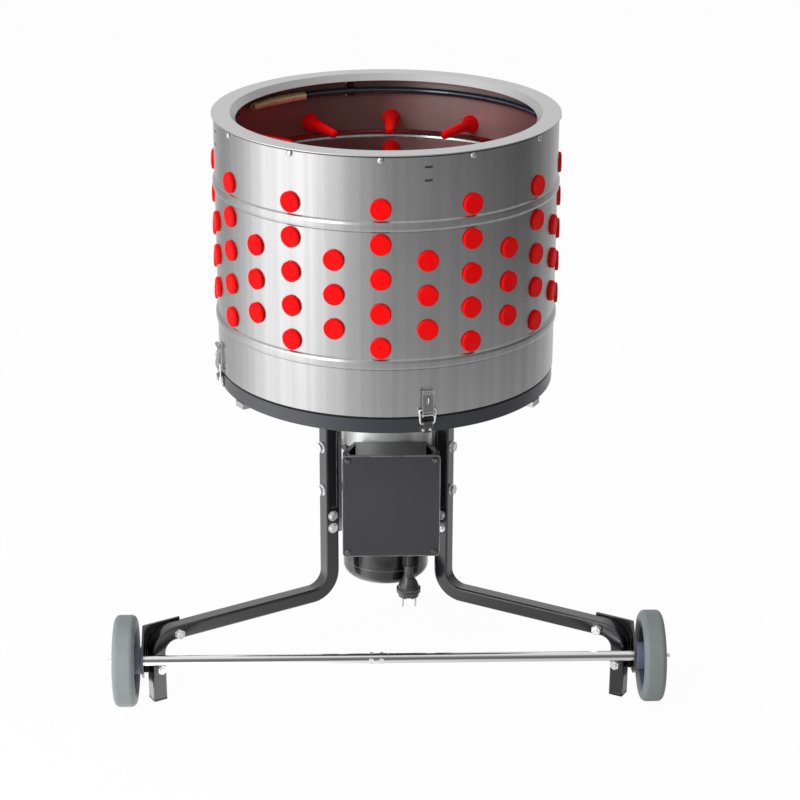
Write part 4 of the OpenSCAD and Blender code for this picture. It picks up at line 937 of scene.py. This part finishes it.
@dataclass
class Latches(Assembly):
    """Four over-centre latches, with bright rivets on their dark hooks."""

    count: int = 4
    wall: float = 0.25
    first: float = 12.0
    rivet_height: float = 0.4475
    rivet_side: float = 0.00515
    rivet_radius: float = 0.0023
    rivet_proud: float = 0.0009
    rivet_sunk: float = 0.0001
    hook_face: float = 0.00025

    def finishes(self) -> dict[str, Finish]:
        """Names the finish of each node.

        Returns:
            The finishes, by node.
        """
        levers = {f"latch_lever_{i + 1}": LEVER_CHROME for i in range(self.count)}
        bails = {f"latch_bail_{i + 1}": LATCH_CHROME for i in range(self.count)}
        return {"latch_plates": LATCH_CHROME, "latch_hooks": FRAME_COAT, **levers, **bails}

    def add_pieces(self) -> list[bpy.types.Object]:
        """Caps the hooks' rivets with bright domes.

        Returns:
            The caps, as one piece.
        """
        shape = bmesh.new()
        tilt = Matrix.Rotation(math.radians(90), 4, "X")
        dome = Matrix.Diagonal((self.rivet_radius, self.rivet_radius, self.rivet_proud, 1.0))
        face = -self.wall - self.hook_face
        for latch in range(self.count):
            around = Matrix.Rotation(math.radians(self.first + 360 / self.count * latch), 4, "Z")
            turn = Matrix.Translation((0, AXIS_Y, 0)) @ around
            back = turn.inverted()
            for side in (-1, 1):
                place = Matrix.Translation((side * self.rivet_side, face, self.rivet_height))
                made = bmesh.ops.create_uvsphere(shape, u_segments=24, v_segments=12, radius=1.0,
                                                 matrix=turn @ place @ tilt @ dome)
                inner = [v for v in made["verts"] if (back @ v.co).y > face + self.rivet_sunk]
                bmesh.ops.delete(shape, geom=inner, context="VERTS")
        return [mesh_piece("hook_rivet_caps", "frame", LATCH_CHROME, shape)]


@dataclass(frozen=True)
class Lamp:
    """A soft rectangular lamp that points at the drum."""

    name: str
    place: Point
    size: tuple[float, float]
    power: float
    mirrored: bool
    aim_height: float = 0.55

    def hang(self) -> None:
        """Hangs the lamp. The camera never sees it, and metal reflects it only if it is mirrored."""
        light = bpy.data.lights.new(self.name, "AREA")
        light.shape = "RECTANGLE"
        light.size, light.size_y = self.size
        light.energy = self.power
        lamp = bpy.data.objects.new(self.name, light)
        lamp.visible_camera = False
        lamp.visible_glossy = self.mirrored
        bpy.context.collection.objects.link(lamp)
        direction = Vector((0.0, AXIS_Y, self.aim_height)) - Vector(self.place)
        turn = direction.to_track_quat("-Z", "Y").to_matrix().to_4x4()
        lamp.matrix_world = Matrix.Translation(self.place) @ turn


@dataclass
class Studio:
    """Camera, lamps, world and floor."""

    aim: Point = (0.02125, -0.06013, 0.3968)
    distance: float = 3.4086
    elevation: float = 21.511
    azimuth: float = -1.7
    roll: float = 0.202
    lens: float = 101.07
    sensor: float = 36.0
    lamps: tuple[Lamp, ...] = (
        Lamp("key_lamp", (-1.9, -2.2, 1.9), (1.1, 2.2), 34.0, True),
        Lamp("side_lamp", (-0.95, -1.05, 0.4), (0.6, 0.6), 5.0, False),
        Lamp("top_lamp", (0.0, 0.3, 3.2), (2.0, 2.0), 20.0, False))
    # The soft light, and how much it falls to the right
    ambient: float = 0.45
    ambient_fall: float = 0.8
    # The sky in reflections: the slopes over which it begins, its level and its fall to the right
    sky_begins: tuple[float, float] = (0.1, 0.7)
    sky_level: float = 0.85
    sky_fall: float = 0.35
    floor_radius: float = 9.0
    floor_colour: Colour = (0.9, 0.9, 0.9)
    floor_white: float = 0.965
    # The near floor in reflections: the distances over which it ends, the level it adds, and the share
    # of the surroundings that it takes off
    contact: tuple[float, float] = (1.5, 2.3)
    contact_level: float = 0.43
    contact_share: float = 0.35
    # The surroundings in reflections: levels by degrees to the right of the front, times a gain
    mirror_gain: float = 2.5
    mirror_levels: tuple[tuple[float, float], ...] = (
        (-180, 0.45), (-136, 0.2), (-106, 0.4), (-84, 0.95), (-50, 1.0), (-37, 0.62), (-20, 0.34),
        (0, 0.195), (28, 0.142), (62, 0.108), (100, 0.06), (136, 0.22), (180, 0.45))

    def place_camera(self) -> None:
        """Places the camera at the photograph's viewing angle."""
        a, e, r = (math.radians(v) for v in (self.azimuth, self.elevation, self.roll))
        back = Vector((math.sin(a) * math.cos(e), -math.cos(a) * math.cos(e), math.sin(e)))
        right = Vector((math.cos(a), math.sin(a), 0.0))
        up = back.cross(right)
        right, up = right * math.cos(r) + up * math.sin(r), up * math.cos(r) - right * math.sin(r)
        lens = bpy.data.cameras.new("camera")
        lens.lens = self.lens
        lens.sensor_width = self.sensor
        lens.sensor_fit = "HORIZONTAL"
        lens.clip_end = 50.0
        camera = bpy.data.objects.new("camera", lens)
        bpy.context.collection.objects.link(camera)
        turn = Matrix((right, up, back)).transposed().to_4x4()
        camera.matrix_world = Matrix.Translation(Vector(self.aim) + back * self.distance) @ turn
        bpy.context.scene.camera = camera

    def mirrored(self, shader: Shader, across: Signal, ahead: Signal) -> Signal:
        """Returns how bright the surroundings look in reflections, by their direction from the drum.

        Args:
            shader: The tree that gets the nodes.
            across: How far to the right.
            ahead: How far to the back.

        Returns:
            The brightness.
        """
        turn = shader.maths(Maths.ARCTAN2, across, 0 - ahead) / math.tau + 0.5
        stops = [(degrees / 360 + 0.5, (level, level, level)) for degrees, level in self.mirror_levels]
        return shader.signal("ShaderNodeValToRGB", {"stops": stops}, {"Fac": turn}) * self.mirror_gain

    @staticmethod
    def background(shader: Shader, level: Any) -> Any:
        """Makes a neutral background.

        Args:
            shader: The world's tree.
            level: Its brightness, a number or a signal.

        Returns:
            The output socket.
        """
        made = shader.node("ShaderNodeBackground", None, {"Color": (1.0, 1.0, 1.0), "Strength": level})
        return made.outputs[0]

    def light_world(self) -> None:
        """Makes the world: white where it is seen, and a plain soft level on the object."""
        world = bpy.data.worlds.new("studio")
        bpy.context.scene.world = world
        shader = Shader(world)
        path = shader.node("ShaderNodeLightPath")
        seen = Signal(shader, path.outputs["Is Camera Ray"])
        glossy = Signal(shader, path.outputs["Is Glossy Ray"])
        through = Signal(shader, path.outputs["Is Transmission Ray"])
        direction = shader.signal("ShaderNodeTexCoord", out="Generated")
        split = shader.node("ShaderNodeSeparateXYZ", None, {0: direction})
        across, ahead, up = (Signal(shader, split.outputs[number]) for number in range(3))
        sky = up.ramp(*self.sky_begins)
        above = self.sky_level - across * self.sky_fall
        level = self.mirrored(shader, across, ahead) * (1 - sky) + sky * above
        ambient = self.background(shader, self.ambient * (1 - across * self.ambient_fall))
        metal = self.background(shader, level)
        white = self.background(shader, 1.0)
        reflected = shader.node("ShaderNodeMixShader", None, {0: glossy, 1: ambient, 2: metal})
        clear = shader.maths(Maths.MAXIMUM, seen, through)
        mix = shader.node("ShaderNodeMixShader", None, {0: clear, 1: reflected.outputs[0], 2: white})
        shader.node("ShaderNodeOutputWorld", None, {"Surface": mix.outputs[0]})

    def lay_floor(self) -> None:
        """Lays the pale floor, which shows white with the object's faint shadow."""
        shape = bmesh.new()
        bmesh.ops.create_circle(shape, cap_ends=True, segments=96, radius=self.floor_radius)
        mesh = bpy.data.meshes.new("floor")
        shape.to_mesh(mesh)
        shape.free()
        material = bpy.data.materials.new("pale_floor")
        shader = Shader(material)
        path = shader.node("ShaderNodeLightPath")
        glossy = Signal(shader, path.outputs["Is Glossy Ray"])
        camera = Signal(shader, path.outputs["Is Camera Ray"])
        through = Signal(shader, path.outputs["Is Transmission Ray"])
        seen = shader.maths(Maths.MAXIMUM, camera, shader.maths(Maths.MAXIMUM, glossy, through))
        across, ahead, _ = shader.axes()
        ahead = ahead - AXIS_Y
        reach = shader.maths(Maths.SQRT, across * across + ahead * ahead)
        near = 1 - reach.ramp(*self.contact)
        far_level = self.mirrored(shader, across, ahead) * (1 - near * self.contact_share)
        level = 1 - glossy + (far_level + near * self.contact_level) * glossy
        matt = shader.node("ShaderNodeBsdfDiffuse", None, {"Color": self.floor_colour})
        glow = shader.node("ShaderNodeEmission", None, {"Color": (1.0, 1.0, 1.0), "Strength": level})
        mix = shader.node("ShaderNodeMixShader", None,
                          {0: seen * self.floor_white, 1: matt.outputs[0], 2: glow.outputs[0]})
        shader.node("ShaderNodeOutputMaterial", None, {"Surface": mix.outputs[0]})
        mesh.materials.append(material)
        floor = bpy.data.objects.new("floor", mesh)
        bpy.context.collection.objects.link(floor)

    def build(self) -> None:
        """Builds the studio."""
        bpy.context.scene.view_settings.view_transform = "Standard"
        self.place_camera()
        self.light_world()
        self.lay_floor()
        for lamp in self.lamps:
            lamp.hang()
        LOG.info("studio: camera, %d lamps, floor", len(self.lamps))


def main() -> None:
    """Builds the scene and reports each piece."""
    logging.basicConfig(level=logging.INFO, format="%(message)s")
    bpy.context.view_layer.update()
    Studio().build()
    for assembly in (PowerLead(), Drum(), Pan(), FingerPlate(), Gearbox(), Motor(), ControlBox(), Legs(),
                     Wheels(), Latches()):
        for piece in assembly.build():
            LOG.info("%s: %s in %s", type(assembly).__name__, piece.name, piece.active_material.name)


if __name__ == "__main__":
    main()
